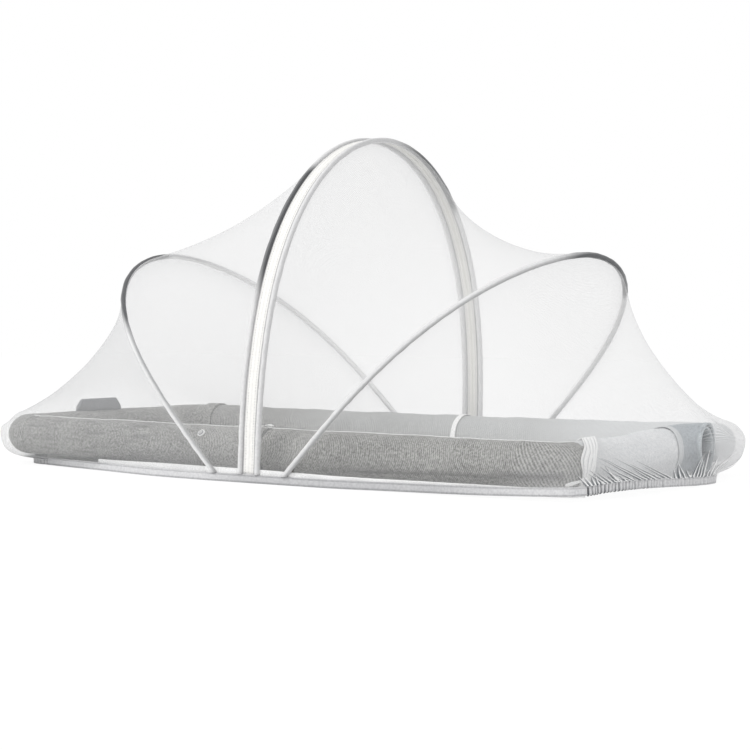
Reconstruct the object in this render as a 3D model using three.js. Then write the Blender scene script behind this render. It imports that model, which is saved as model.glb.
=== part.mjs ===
// A pop-up mosquito net for a crib, with the padded crib top that it fits over.
// Millimetres, +Z up, +X towards the foot end. The pieces are laid out from the middle of the crib top, on the
// surface it stands on; at the end the origin moves under the middle of the whole thing. Four rods sewn into
// sleeves hold four panels of netting: two rods side by side make the tall arch, with a zip between them, and
// one leans out to each end. The hem is a flat tape along the sides and an elastic casing round the ends.
import * as THREE from "three";

// ---- the crib top ----
const BED_LENGTH = 1100;
const BED_WIDTH = 530;
const RAIL_LINE = 35; // from the outer edge of the bed to the middle of its padded rail
const FAR_RAIL_EXTRA = 8; // the far rail runs on past the foot end by this
const HEAD_CORNER = 52; // radius of the rail's middle line at the two head corners
const FOOT_CORNER = 45; // the same at the near corner of the foot end
const MAT_THICKNESS = 12;
const MATTRESS_TOP = 30;
const SEAM = 0.3; // free space between two pieces that touch
const ROLL_TURN = 47; // radius of the foot roll's middle line where its far end turns outwards
const ROLL_TURN_ANGLE = THREE.MathUtils.degToRad(81);
const ROLL_STRAIGHT_END = 92; // y at which the foot roll starts to turn
const ROLL_HOLLOW = 16; // how deep the foot roll's open middle is
const RAIL_SIDES = 14;

// ---- the net ----
const ARCH_X = 38; // the arch stands a little towards the foot end
const HEM_HALF_WIDTH = 294; // from the middle line to the rods' feet
const FEET_APART = { near: 54, far: 88 }; // from the arch to a side hoop's foot, on each side
const TAPE_HEIGHT = 12;
const TAPE_THICKNESS = 1.6;
const ELASTIC_THICKNESS = 3.2;
const NET_THICKNESS = 1;
const SLEEVE_RADIUS = 4.4;
const SLEEVE_SIDES = 6;
const ZIP_HALF_WIDTH = 11;
const ZIP_THICKNESS = 1.6;
const NET_CLEARANCE = 6; // between the middle of the netting and a padded rail
const EDGE_GAP = 0.6; // between a panel's edge and its sleeve
const HEM_GAP = 0.9; // between a panel's lower edge and the hem

// A hoop's rod bends in one plane, which leans by the tilt. Its outline is a superellipse: near the feet it
// rises steeply, and towards the top it is nearly round.
const HOOPS = {
  head: {
    feet: { near: ARCH_X - FEET_APART.near, far: ARCH_X - FEET_APART.far },
    length: 470, tilt: -43.5, spread: 1.83, rise: 3.2,
  },
  arch: {
    feet: { near: ARCH_X, far: ARCH_X },
    length: 515, tilt: 2.3, spread: 1.97, rise: 2.77,
  },
  foot: {
    feet: { near: ARCH_X + FEET_APART.near, far: ARCH_X + FEET_APART.far },
    length: 471, tilt: 45.5, spread: 1.83, rise: 3.2,
  },
};

// The hem's line on the floor, seen from above, with how far its lower edge is lifted.
const HEM_NEAR = [
  { x: -440, y: -230, lift: 0 },
  { x: -300, y: -258, lift: 0 },
  { x: -158, y: -286, lift: 0 },
  { x: -40, y: -HEM_HALF_WIDTH, lift: 0 },
  { x: 96, y: -HEM_HALF_WIDTH, lift: 0 },
  { x: 173, y: -293, lift: 0 },
  { x: 290, y: -285, lift: 1 },
  { x: 435, y: -278, lift: 3 },
  { x: 566, y: -267, lift: 8 },
];
const HEM_FOOT = [
  { x: 579, y: -250, lift: 9 },
  { x: 582, y: -215, lift: 10 },
  { x: 584, y: -140, lift: 9 },
  { x: 587, y: -40, lift: 5 },
  { x: 589, y: 50, lift: 1 },
  { x: 584, y: 105, lift: 0 },
  { x: 560, y: 142, lift: 0 },
  { x: 530, y: 180, lift: 0 },
  { x: 500, y: 215, lift: 0 },
  { x: 465, y: 246, lift: 0 },
];
const HEM_FAR = [
  { x: 420, y: 266, lift: 0 },
  { x: 290, y: 285, lift: 0 },
  { x: 173, y: 293, lift: 0 },
  { x: 96, y: HEM_HALF_WIDTH, lift: 0 },
  { x: -80, y: HEM_HALF_WIDTH, lift: 0 },
  { x: -158, y: 288, lift: 0 },
  { x: -300, y: 260, lift: 0 },
  { x: -440, y: 230, lift: 0 },
];
const HEM_HEAD = [
  { x: -480, y: 218, lift: 0 },
  { x: -510, y: 178, lift: 0 },
  { x: -512, y: 0, lift: 0 },
  { x: -510, y: -178, lift: 0 },
  { x: -480, y: -218, lift: 0 },
];

const COLOURS = {
  melange: 0xa4a6a8,
  paleCover: 0xc9cacc,
  whiteCotton: 0xf4f4f2,
  netting: 0xf0f0f0,
  piping: 0xb4b4bf,
  zip: 0xf3f1ea,
  hemTape: 0xc8c8cf,
  darkTab: 0x8f9092,
  button: 0xe8e8ea,
};

const material = (colour, roughness = 0.85) =>
  new THREE.MeshStandardMaterial({ color: colour, roughness: roughness, metalness: 0 });

const vector = (x, y, z) => new THREE.Vector3(x, y, z);

// ---- closed meshes from rings and grids ----

// A closed mesh from points and triangles, turned to face outwards if its volume comes out negative.
function closedMesh(points, triangles) {
  let volume = 0;
  for (const [a, b, c] of triangles) {
    volume += points[a].dot(points[b].clone().cross(points[c]));
  }
  const faces = volume < 0 ? triangles.map(([a, b, c]) => [a, c, b]) : triangles;
  const geometry = new THREE.BufferGeometry().setFromPoints(points);
  geometry.setIndex(faces.flat());
  geometry.computeVertexNormals();
  return geometry;
}

// The skin over a row of rings, each a loop of as many points, closed at both ends.
function loft(rings) {
  const size = rings[0].length;
  const points = rings.flat();
  const triangles = [];
  for (let k = 0; k + 1 < rings.length; k++) {
    for (let i = 0; i < size; i++) {
      const a = k * size + i;
      const b = k * size + ((i + 1) % size);
      triangles.push([a, b, a + size], [b, b + size, a + size]);
    }
  }
  for (const [first, turned] of [[0, true], [(rings.length - 1) * size, false]]) {
    const middle = points.length;
    const centre = vector(0, 0, 0);
    for (let i = 0; i < size; i++) centre.add(points[first + i]);
    points.push(centre.divideScalar(size));
    for (let i = 0; i < size; i++) {
      const a = first + i;
      const b = first + ((i + 1) % size);
      triangles.push(turned ? [middle, b, a] : [middle, a, b]);
    }
  }
  return closedMesh(points, triangles);
}

// A sheet of even thickness on a grid of points.
function sheet(grid, thickness) {
  const rows = grid.length;
  const columns = grid[0].length;
  const front = [];
  const back = [];
  for (let i = 0; i < rows; i++) {
    for (let j = 0; j < columns; j++) {
      const along = grid[Math.min(i + 1, rows - 1)][j].clone().sub(grid[Math.max(i - 1, 0)][j]);
      const across = grid[i][Math.min(j + 1, columns - 1)].clone().sub(grid[i][Math.max(j - 1, 0)]);
      const normal = along.cross(across).normalize().multiplyScalar(thickness / 2);
      front.push(grid[i][j].clone().add(normal));
      back.push(grid[i][j].clone().sub(normal));
    }
  }
  const points = [...front, ...back];
  const half = front.length;
  const at = (i, j) => i * columns + j;
  const triangles = [];
  for (let i = 0; i + 1 < rows; i++) {
    for (let j = 0; j + 1 < columns; j++) {
      const [a, b, c, d] = [at(i, j), at(i + 1, j), at(i + 1, j + 1), at(i, j + 1)];
      triangles.push([a, b, c], [a, c, d]);
      triangles.push([a + half, c + half, b + half], [a + half, d + half, c + half]);
    }
  }
  const rim = [];
  for (let i = 0; i < rows; i++) rim.push(at(i, 0));
  for (let j = 1; j < columns; j++) rim.push(at(rows - 1, j));
  for (let i = rows - 2; i >= 0; i--) rim.push(at(i, columns - 1));
  for (let j = columns - 2; j > 0; j--) rim.push(at(0, j));
  rim.forEach((a, k) => {
    const b = rim[(k + 1) % rim.length];
    triangles.push([a, a + half, b], [b, a + half, b + half]);
  });
  return closedMesh(points, triangles);
}

// A loop of points round a centre, in the plane of two unit vectors.
function ring(centre, sideways, upwards, radius, sides = RAIL_SIDES) {
  const points = [];
  for (let i = 0; i < sides; i++) {
    const angle = (2 * Math.PI * (i + 0.5)) / sides;
    points.push(
      centre.clone()
        .addScaledVector(sideways, radius * Math.cos(angle))
        .addScaledVector(upwards, radius * Math.sin(angle)),
    );
  }
  return points;
}

// Points along a line of points, at the given shares of its length.
function pointsAt(points, shares) {
  const lengths = [0];
  for (let i = 1; i < points.length; i++) {
    lengths.push(lengths[i - 1] + points[i].distanceTo(points[i - 1]));
  }
  const total = lengths[lengths.length - 1];
  let k = 0;
  return shares.map((wanted) => {
    while (k + 2 < points.length && lengths[k + 1] < total * wanted) k++;
    const share = (total * wanted - lengths[k]) / (lengths[k + 1] - lengths[k]);
    return points[k].clone().lerp(points[k + 1], share);
  });
}

const evenShares = (count) => Array.from({ length: count + 1 }, (_, j) => j / count);
const spaced = (points, count) => pointsAt(points, evenShares(count));

const tangentAt = (points, i) =>
  points[Math.min(i + 1, points.length - 1)].clone().sub(points[Math.max(i - 1, 0)]).normalize();

// ---- the padded rails ----

const RAIL_Y = BED_WIDTH / 2 - RAIL_LINE;
const HEAD_X = -BED_LENGTH / 2 + RAIL_LINE;
const FOOT_X = BED_LENGTH / 2 - RAIL_LINE;
const HEAD_TURN = { x: HEAD_X + HEAD_CORNER, y: RAIL_Y - HEAD_CORNER };
const FOOT_TURN = { x: FOOT_X - FOOT_CORNER, y: -RAIL_Y + FOOT_CORNER };
const FAR_RAIL_END = BED_LENGTH / 2 - 33 + FAR_RAIL_EXTRA;

// How thick the stuffing is, and how high its middle lies, at some places along each rail.
const STUFFING = {
  near: [
    { along: -455, middle: 47.5, radius: 31.5 },
    { along: -260, middle: 45, radius: 33 },
    { along: -80, middle: 42, radius: 35.3 },
    { along: 160, middle: 41.5, radius: 35 },
    { along: 400, middle: 41.5, radius: 34.2 },
    { along: 560, middle: 41, radius: 34.5 },
  ],
  far: [
    { along: -455, middle: 47.5, radius: 31.5 },
    { along: -250, middle: 43, radius: 33.5 },
    { along: 100, middle: 41.5, radius: 34.5 },
    { along: 380, middle: 43.5, radius: 33.5 },
    { along: 480, middle: 48.5, radius: 31 },
    { along: 540, middle: 50, radius: 29.5 },
  ],
  foot: [
    { along: -190, middle: 40, radius: 33.5 },
    { along: -60, middle: 40.5, radius: 33.5 },
    { along: 60, middle: 44.5, radius: 34.2 },
    { along: 150, middle: 50, radius: 35.5 },
  ],
};

function stuffingAt(rows, along) {
  const last = rows.length - 1;
  let k = 0;
  while (k + 2 <= last && rows[k + 1].along < along) k++;
  const share = THREE.MathUtils.clamp(
    (along - rows[k].along) / (rows[k + 1].along - rows[k].along), 0, 1);
  const eased = share * share * (3 - 2 * share);
  const lumps = 0.35 * Math.sin(along / 23) + 0.3 * Math.sin(along / 41 + 1);
  return {
    middle: THREE.MathUtils.lerp(rows[k].middle, rows[k + 1].middle, eased),
    radius: THREE.MathUtils.lerp(rows[k].radius, rows[k + 1].radius, eased) + lumps,
  };
}

const UP = vector(0, 0, 1);

// One station of a rail: where its middle is, which way it runs, and how thick it is.
function station(x, y, heading, { middle, radius }) {
  return {
    centre: vector(x, y, middle),
    sideways: vector(Math.sin(heading), -Math.cos(heading), 0),
    radius,
  };
}

// Stations along the side rail on the near (-1) or the far (+1) side, from the head end.
function sideStations(side, from, to, count, rows) {
  const stations = [];
  for (let n = 0; n <= count; n++) {
    const x = THREE.MathUtils.lerp(from, to, n / count);
    stations.push(station(x, side * RAIL_Y, 0, stuffingAt(rows, x)));
  }
  return stations;
}

// Stations round a corner, from one heading to another, both counted from +X.
function turnStations(centre, radius, from, to, count, stuffing) {
  const stations = [];
  const turn = Math.sign(to - from);
  for (let n = 0; n <= count; n++) {
    const heading = THREE.MathUtils.lerp(from, to, n / count);
    const x = centre.x + turn * radius * Math.sin(heading);
    const y = centre.y - turn * radius * Math.cos(heading);
    stations.push(station(x, y, heading, stuffing(x, y, n / count)));
  }
  return stations;
}

const skin = (stations) => loft(stations.map((s) => ring(s.centre, s.sideways, UP, s.radius)));

const QUARTER = Math.PI / 2;

// From the near rail's stuffing to the foot roll's, round the corner between them.
function cornerStuffing(x, y, share) {
  const before = stuffingAt(STUFFING.near, FOOT_TURN.x);
  const after = stuffingAt(STUFFING.foot, FOOT_TURN.y);
  return {
    middle: THREE.MathUtils.lerp(before.middle, after.middle, share),
    radius: THREE.MathUtils.lerp(before.radius, after.radius, share),
  };
}

function nearRailStations() {
  const straight = sideStations(-1, HEAD_TURN.x, FOOT_TURN.x, 22, STUFFING.near);
  const turn = turnStations(FOOT_TURN, FOOT_CORNER, 0, QUARTER, 6, cornerStuffing);
  return [...straight, ...turn.slice(1)];
}

function farRailStations() {
  const stations = sideStations(1, HEAD_TURN.x + SEAM, FAR_RAIL_END, 22, STUFFING.far);
  const last = stations[stations.length - 1];
  for (const angle of [0.35, 0.7, 1.0, 1.25]) {
    stations.push({
      centre: last.centre.clone().add(vector(last.radius * Math.sin(angle), 0, 0)),
      sideways: last.sideways,
      radius: last.radius * Math.cos(angle),
    });
  }
  return stations;
}

function headRailStations() {
  const plump = () => STUFFING.near[0];
  const farTurn = turnStations(
    { x: HEAD_TURN.x, y: HEAD_TURN.y }, HEAD_CORNER, 2 * QUARTER, 3 * QUARTER, 6, plump);
  const nearTurn = turnStations(
    { x: HEAD_TURN.x, y: -HEAD_TURN.y }, HEAD_CORNER, 3 * QUARTER, 4 * QUARTER, 6, plump);
  const straight = [];
  for (let n = 1; n < 7; n++) {
    const y = THREE.MathUtils.lerp(HEAD_TURN.y, -HEAD_TURN.y, n / 7);
    straight.push(station(HEAD_X, y, 3 * QUARTER, {
      middle: STUFFING.near[0].middle,
      radius: STUFFING.near[0].radius + 0.5 * Math.sin(y / 31),
    }));
  }
  const stations = [...farTurn, ...straight, ...nearTurn];
  stations[stations.length - 1].centre.x -= SEAM;
  return stations;
}

// The foot roll lies across the foot end, and its far end turns outwards and shows its open middle.
function footRollStations() {
  const stations = [];
  for (let n = 0; n <= 10; n++) {
    const y = THREE.MathUtils.lerp(FOOT_TURN.y + SEAM, ROLL_STRAIGHT_END, n / 10);
    stations.push(station(FOOT_X, y, QUARTER, stuffingAt(STUFFING.foot, y)));
  }
  const turn = turnStations(
    { x: FOOT_X + ROLL_TURN, y: ROLL_STRAIGHT_END }, ROLL_TURN, QUARTER, QUARTER - ROLL_TURN_ANGLE, 6,
    (x, y) => stuffingAt(STUFFING.foot, y));
  return [...stations, ...turn.slice(1)];
}

function footRoll() {
  const stations = footRollStations();
  const rings = stations.map((s) => ring(s.centre, s.sideways, UP, s.radius));
  const end = stations[stations.length - 1];
  const inwardsAxis = vector(end.sideways.y, -end.sideways.x, 0);
  for (const [inwards, share] of [[0, 0.8], [ROLL_HOLLOW, 0.7]]) {
    const centre = end.centre.clone().addScaledVector(inwardsAxis, inwards);
    rings.push(ring(centre, end.sideways, UP, end.radius * share));
  }
  return loft(rings);
}

// ---- the mat and the mattress inside the rails ----

// A rounded rectangle at one height, with as many points on each corner.
function roundedOutline(halfX, halfY, corner, height, middleX) {
  const points = [];
  for (const [sx, sy, start] of [[1, 1, 0], [-1, 1, 1], [-1, -1, 2], [1, -1, 3]]) {
    for (let n = 0; n <= 5; n++) {
      const angle = (start + n / 5) * QUARTER;
      points.push(vector(
        middleX + sx * (halfX - corner) + corner * Math.cos(angle),
        sy * (halfY - corner) + corner * Math.sin(angle),
        height,
      ));
    }
  }
  return points;
}

const MAT = { x: -4, halfX: 484, halfY: 212.1, corner: 50 };
const MATTRESS = { x: -4, halfX: 472, halfY: 194, corner: 45 };

function bedMat() {
  const { x, halfX, halfY, corner } = MAT;
  return loft([
    roundedOutline(halfX - 3, halfY - 3, corner, 0, x),
    roundedOutline(halfX, halfY, corner, 3, x),
    roundedOutline(halfX, halfY, corner, MAT_THICKNESS - 3, x),
    roundedOutline(halfX - 2, halfY - 2, corner, MAT_THICKNESS, x),
  ]);
}

function mattress() {
  const { x, halfX, halfY, corner } = MATTRESS;
  const bottom = MAT_THICKNESS + SEAM;
  return loft([
    roundedOutline(halfX - 5, halfY - 5, corner, bottom, x),
    roundedOutline(halfX, halfY, corner, bottom + 4, x),
    roundedOutline(halfX, halfY, corner, MATTRESS_TOP - 6, x),
    roundedOutline(halfX - 8, halfY - 8, corner, MATTRESS_TOP - 1, x),
    roundedOutline(halfX - 40, halfY - 40, corner, MATTRESS_TOP + 1, x),
    roundedOutline(halfX - 150, halfY - 150, 40, MATTRESS_TOP + 2, x),
  ]);
}

// ---- straps, tab, flap and button on the rails ----

const WRAP_SLACK = 0.3; // a band's straight facets need this much more room on a round rail

// A band of webbing round part of a rail. Its angles, in degrees, are counted from the side that the stations
// face, over the top.
function wrap(stations, from, to, thickness, steps = 26) {
  const lift = SEAM + WRAP_SLACK + thickness / 2;
  const grid = stations.map((s) => {
    const row = [];
    for (let n = 0; n <= steps; n++) {
      const angle = THREE.MathUtils.degToRad(THREE.MathUtils.lerp(from, to, n / steps));
      row.push(
        s.centre.clone()
          .addScaledVector(s.sideways, (s.radius + lift) * Math.cos(angle))
          .addScaledVector(UP, (s.radius + lift) * Math.sin(angle)),
      );
    }
    return row;
  });
  return sheet(grid, thickness);
}

const STRAP = { width: 9, thickness: 1.2 };

// A strap round a side rail. It ends above the mattress on the inner side and under the rail outside.
function sideStrap(side, x, rows) {
  const stations = sideStations(side, x - STRAP.width / 2, x + STRAP.width / 2, 1, rows);
  return side < 0 ? wrap(stations, -100, 185, STRAP.thickness) : wrap(stations, -5, 280, STRAP.thickness);
}

// The wide strap that ties the near rail and the foot roll together. It lies over the roll beside the corner,
// comes down slanting on to the corner's outer side, and is drawn together below. Each row gives an angle
// round the rail and where the strap's two edges lie: up to 1 in shares of the corner, then on along the roll.
const CORNER_STRAP = [
  { angle: -100, from: 0.8, to: 0.92 },
  { angle: -40, from: 0.82, to: 0.93 },
  { angle: -10, from: 0.8, to: 0.99 },
  { angle: 20, from: 0.79, to: 1.12 },
  { angle: 50, from: 0.95, to: 1.42 },
  { angle: 80, from: 1.25, to: 1.75 },
  { angle: 110, from: 1.6, to: 2.1 },
  { angle: 185, from: 1.85, to: 2.35 },
];

function cornerStation(share) {
  if (share <= 1) {
    const heading = share * QUARTER;
    const x = FOOT_TURN.x + FOOT_CORNER * Math.sin(heading);
    const y = FOOT_TURN.y - FOOT_CORNER * Math.cos(heading);
    return station(x, y, heading, cornerStuffing(x, y, share));
  }
  const y = FOOT_TURN.y + (share - 1) * FOOT_CORNER * QUARTER;
  return station(FOOT_X, y, QUARTER, stuffingAt(STUFFING.foot, y));
}

function cornerStrap() {
  const thickness = 1.8;
  const lift = SEAM + 0.7 + thickness / 2;
  const [start, end] = [CORNER_STRAP[0].angle, CORNER_STRAP.at(-1).angle];
  const grid = [];
  for (let n = 0; n <= 8; n++) {
    const row = [];
    for (let k = 0; k <= 38; k++) {
      const degrees = THREE.MathUtils.lerp(start, end, k / 38);
      let i = 0;
      while (i + 2 < CORNER_STRAP.length && CORNER_STRAP[i + 1].angle < degrees) i++;
      const [low, high] = [CORNER_STRAP[i], CORNER_STRAP[i + 1]];
      const between = (degrees - low.angle) / (high.angle - low.angle);
      const from = THREE.MathUtils.lerp(low.from, high.from, between);
      const to = THREE.MathUtils.lerp(low.to, high.to, between);
      const s = cornerStation(THREE.MathUtils.lerp(from, to, n / 8));
      const angle = THREE.MathUtils.degToRad(degrees);
      row.push(
        s.centre.clone()
          .addScaledVector(s.sideways, (s.radius + lift) * Math.cos(angle))
          .addScaledVector(UP, (s.radius + lift) * Math.sin(angle)),
      );
    }
    grid.push(row);
  }
  return sheet(grid, thickness);
}

function rollBand() {
  const stations = [];
  for (const y of [58, 66, 74]) {
    stations.push(station(FOOT_X, y, QUARTER, stuffingAt(STUFFING.foot, y)));
  }
  return wrap(stations, -100, 190, STRAP.thickness);
}

// The tied end of the corner strap: a short loop, the knot, and a short end, as one twisted piece. Each row
// gives its turn round the corner in degrees, its distance out from the strap, and its own half height.
function strapTie() {
  const rows = [
    { turn: 48, out: 4, z: 20, half: 1.2, thick: 0.8 },
    { turn: 51, out: 3.6, z: 20.5, half: 4.4, thick: 1.2 },
    { turn: 57, out: 3.2, z: 21.5, half: 3.8, thick: 1.4 },
    { turn: 62, out: 3.4, z: 23, half: 2.4, thick: 2 },
    { turn: 66.5, out: 5, z: 24.5, half: 5, thick: 4.2 },
    { turn: 70.5, out: 5, z: 24.5, half: 5, thick: 4.2 },
    { turn: 75, out: 3.6, z: 22.5, half: 2.4, thick: 1.8 },
    { turn: 81, out: 3.2, z: 18, half: 3, thick: 1 },
    { turn: 85, out: 3.2, z: 14.5, half: 2, thick: 0.8 },
  ];
  const { middle, radius } = cornerStuffing(0, 0, 0.75);
  const strapSurface = radius + 2.6;
  const line = rows.map((row) => {
    const turn = THREE.MathUtils.degToRad(row.turn);
    const reach = FOOT_CORNER + Math.sqrt(strapSurface ** 2 - (middle - row.z) ** 2) + row.out;
    return vector(FOOT_TURN.x + reach * Math.sin(turn), FOOT_TURN.y - reach * Math.cos(turn), row.z);
  });
  const rings = rows.map((row, i) => {
    const outwards = UP.clone().cross(tangentAt(line, i)).normalize();
    const upwards = tangentAt(line, i).cross(outwards).normalize();
    return ring(line[i], outwards, upwards, 1, 8).map((point) => {
      const offset = point.sub(line[i]);
      const across = offset.dot(outwards) * row.thick;
      const rise = offset.dot(upwards) * row.half;
      return line[i].clone().addScaledVector(outwards, across).addScaledVector(upwards, rise);
    });
  });
  return loft(rings);
}

// The dark padded tab that stands on the head rail.
const TAB = { middle: -34, half: 53, height: 19, thickness: 9, slope: 10 };
const TAB_FOOT = STUFFING.near[0].middle + STUFFING.near[0].radius + 0.5 + SEAM;

function headTab() {
  const outline = new THREE.Shape();
  outline.moveTo(-TAB.half, 0);
  outline.lineTo(TAB.half, 0);
  outline.lineTo(TAB.half - TAB.slope * 0.7, TAB.height - 4);
  outline.quadraticCurveTo(TAB.half - TAB.slope, TAB.height, TAB.half - TAB.slope - 6, TAB.height);
  outline.lineTo(-TAB.half + TAB.slope + 6, TAB.height);
  outline.quadraticCurveTo(-TAB.half + TAB.slope, TAB.height, -TAB.half + TAB.slope * 0.7, TAB.height - 4);
  outline.closePath();
  const solid = new THREE.ExtrudeGeometry(outline, {
    depth: TAB.thickness, bevelEnabled: false, curveSegments: 4,
  });
  solid.rotateX(QUARTER);
  solid.rotateZ(QUARTER);
  solid.translate(HEAD_X - TAB.thickness / 2, TAB.middle, TAB_FOOT);
  return solid;
}

// The loose end of the head rail's cover, folded over its inner side where the far rail starts.
const FLAP = { stations: 3, from: 66, to: 192, thickness: 1.4 };

function railFlap() {
  return wrap(headRailStations().slice(0, FLAP.stations), FLAP.from, FLAP.to, FLAP.thickness);
}

// The press button on the near rail: a ring with a domed cap in its middle.
const BUTTON = { x: -85, angle: 42, radius: 6.2 };

function railButton() {
  const profile = [
    [0, 0], [BUTTON.radius, 0], [BUTTON.radius, 1], [BUTTON.radius - 1, 1.8], [4.2, 1.8],
    [3.8, 1.2], [3.2, 2.2], [1.6, 3], [0, 3.2],
  ].map(([x, y]) => new THREE.Vector2(x, y));
  const solid = new THREE.LatheGeometry(profile, 20);
  const { middle, radius } = stuffingAt(STUFFING.near, BUTTON.x);
  const angle = THREE.MathUtils.degToRad(BUTTON.angle);
  const outwards = vector(0, -Math.cos(angle), Math.sin(angle));
  solid.applyQuaternion(new THREE.Quaternion().setFromUnitVectors(vector(0, 1, 0), outwards));
  const seat = vector(BUTTON.x, -RAIL_Y, middle).addScaledVector(outwards, radius + SEAM);
  solid.translate(seat.x, seat.y, seat.z);
  return solid;
}

// ---- the hoops ----

// A row of fine points along a hoop's rod, from its near foot to its far foot, and its plane's normal.
function hoopLine({ feet, length, tilt, spread, rise }, shift = 0) {
  const near = vector(feet.near, -HEM_HALF_WIDTH, 0);
  const far = vector(feet.far, HEM_HALF_WIDTH, 0);
  const middle = near.clone().add(far).multiplyScalar(0.5);
  const half = far.clone().sub(near).multiplyScalar(0.5);
  const lean = THREE.MathUtils.degToRad(tilt);
  const level = half.clone().normalize().cross(UP);
  const rising = UP.clone().multiplyScalar(Math.cos(lean)).addScaledVector(level, Math.sin(lean));
  const normal = half.clone().normalize().cross(rising).normalize();
  const points = [];
  const steps = 900;
  for (let n = 0; n <= steps; n++) {
    const angle = (Math.PI * n) / steps;
    const across = -Math.sign(Math.cos(angle)) * Math.abs(Math.cos(angle)) ** (2 / spread);
    const height = length * Math.abs(Math.sin(angle)) ** (2 / rise);
    points.push(
      middle.clone()
        .addScaledVector(half, across)
        .addScaledVector(rising, height)
        .addScaledVector(normal, shift),
    );
  }
  return { points, normal };
}

const HOOP_FOOT = TAPE_HEIGHT + SEAM;
const HOOP_STEPS = 34;

// Shares of a rod's length for its stations, which lie closer together near its feet.
const HOOP_SHARES = evenShares(HOOP_STEPS).map((t) => t - 0.06 * Math.sin(2 * Math.PI * t));

function hoopStations(hoop, shift = 0) {
  const { points } = hoopLine(hoop, shift);
  return pointsAt(points.filter((point) => point.z >= HOOP_FOOT), HOOP_SHARES);
}

// A sleeve with its rod inside, cut level where it stands on the hem tape.
function sleeve(hoop, shift) {
  const { normal } = hoopLine(hoop);
  const line = hoopStations(hoop, shift);
  const rings = line.map((centre, i) => {
    const tangent = tangentAt(line, i);
    const outwards = tangent.clone().cross(normal).normalize();
    const loop = ring(centre, normal, outwards, SLEEVE_RADIUS, SLEEVE_SIDES);
    if (i > 0 && i < line.length - 1) return loop;
    return loop.map((p) => p.addScaledVector(tangent, (HOOP_FOOT - p.z) / tangent.z));
  });
  return loft(rings);
}

const PIPING_SHIFT = ZIP_HALF_WIDTH + 0.4 + SLEEVE_RADIUS;

// The zip's two tapes, closed, between the two rods of the arch.
function zipTape() {
  const { normal } = hoopLine(HOOPS.arch);
  const line = hoopStations(HOOPS.arch);
  for (const end of [line[0], line[HOOP_STEPS]]) end.z += 1;
  const grid = line.map((centre) =>
    [-1, 1].map((k) => centre.clone().addScaledVector(normal, k * ZIP_HALF_WIDTH)));
  return sheet(grid, ZIP_THICKNESS);
}

// ---- the hem ----

const hemPoint = ({ x, y, lift }) => vector(x, y, lift);
const HEM_ROWS = [...HEM_NEAR, ...HEM_FOOT, ...HEM_FAR, ...HEM_HEAD];
const HEM_CURVE = new THREE.CatmullRomCurve3(HEM_ROWS.map(hemPoint), true, "centripetal");
const TAPE_RUNS_ON = 0.9; // the near tape goes on round the corner, almost to the next row
const HEM_STARTS = {
  near: 0,
  foot: HEM_NEAR.length - 1 + TAPE_RUNS_ON,
  far: HEM_NEAR.length + HEM_FOOT.length,
  head: HEM_ROWS.length - HEM_HEAD.length - 1,
  end: HEM_ROWS.length,
};

// Fine points along the hem between two rows of its table, which may run on past the last row.
function hemLine(from, to) {
  const points = [];
  const steps = 1 + Math.round((to - from) * 40);
  for (let n = 0; n <= steps; n++) {
    const row = (from + ((to - from) * n) / steps) % HEM_ROWS.length;
    points.push(HEM_CURVE.getPoint(row / HEM_ROWS.length));
  }
  return points;
}

// A strip that stands on the hem's line, shortened a little at both ends.
function hemStrip(from, to, count, thickness, ripple = 0) {
  const whole = hemLine(from, to);
  const line = spaced(whole, 400).slice(1, -1);
  const stations = spaced(line, count);
  const grid = stations.map((point, i) => {
    const outwards = tangentAt(stations, i).cross(UP).normalize();
    const wave = ripple * Math.sin(i * 2.4) * Math.min(1, i, stations.length - 1 - i);
    const foot = point.clone().addScaledVector(outwards, wave);
    foot.z = Math.max(foot.z, 0);
    return [foot, foot.clone().setZ(foot.z + TAPE_HEIGHT)];
  });
  return sheet(grid, thickness);
}

// ---- the netting ----

// How much each kind of panel pulls along its edges, against straight between them.
const PULL = { head: 0.4, foot: 0.65, headEnd: 0.8, footEnd: 0.64 };
const RELAX_TURNS = 1200;

// The rails' middle lines, for the netting to lie over.
const RAIL_RUNS = [
  [...nearRailStations(), ...footRollStations()],
  farRailStations(),
  headRailStations(),
];

const TAB_CLEARANCE = { sideways: 11, above: 5 };

// Lifts a point above the padded rails, and above the tab on the head rail.
function keepClear(point) {
  for (const run of RAIL_RUNS) {
    for (let k = 0; k + 1 < run.length; k++) {
      const step = run[k + 1].centre.clone().sub(run[k].centre);
      const along = point.clone().sub(run[k].centre).dot(step) / step.lengthSq();
      const share = THREE.MathUtils.clamp(along, 0, 1);
      const foot = run[k].centre.clone().addScaledVector(step, share);
      const reach = NET_CLEARANCE + THREE.MathUtils.lerp(run[k].radius, run[k + 1].radius, share);
      if (point.distanceTo(foot) < reach) {
        point.z = foot.z + Math.sqrt(reach ** 2 - (point.x - foot.x) ** 2 - (point.y - foot.y) ** 2);
      }
    }
  }
  const besideTab = Math.abs(point.y - TAB.middle) < TAB.half + TAB_CLEARANCE.sideways;
  const overTab = Math.abs(point.x - HEAD_X) < TAB_CLEARANCE.sideways + TAB.thickness / 2;
  if (besideTab && overTab) point.z = Math.max(point.z, TAB_FOOT + TAB.height + TAB_CLEARANCE.above);
}

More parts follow.
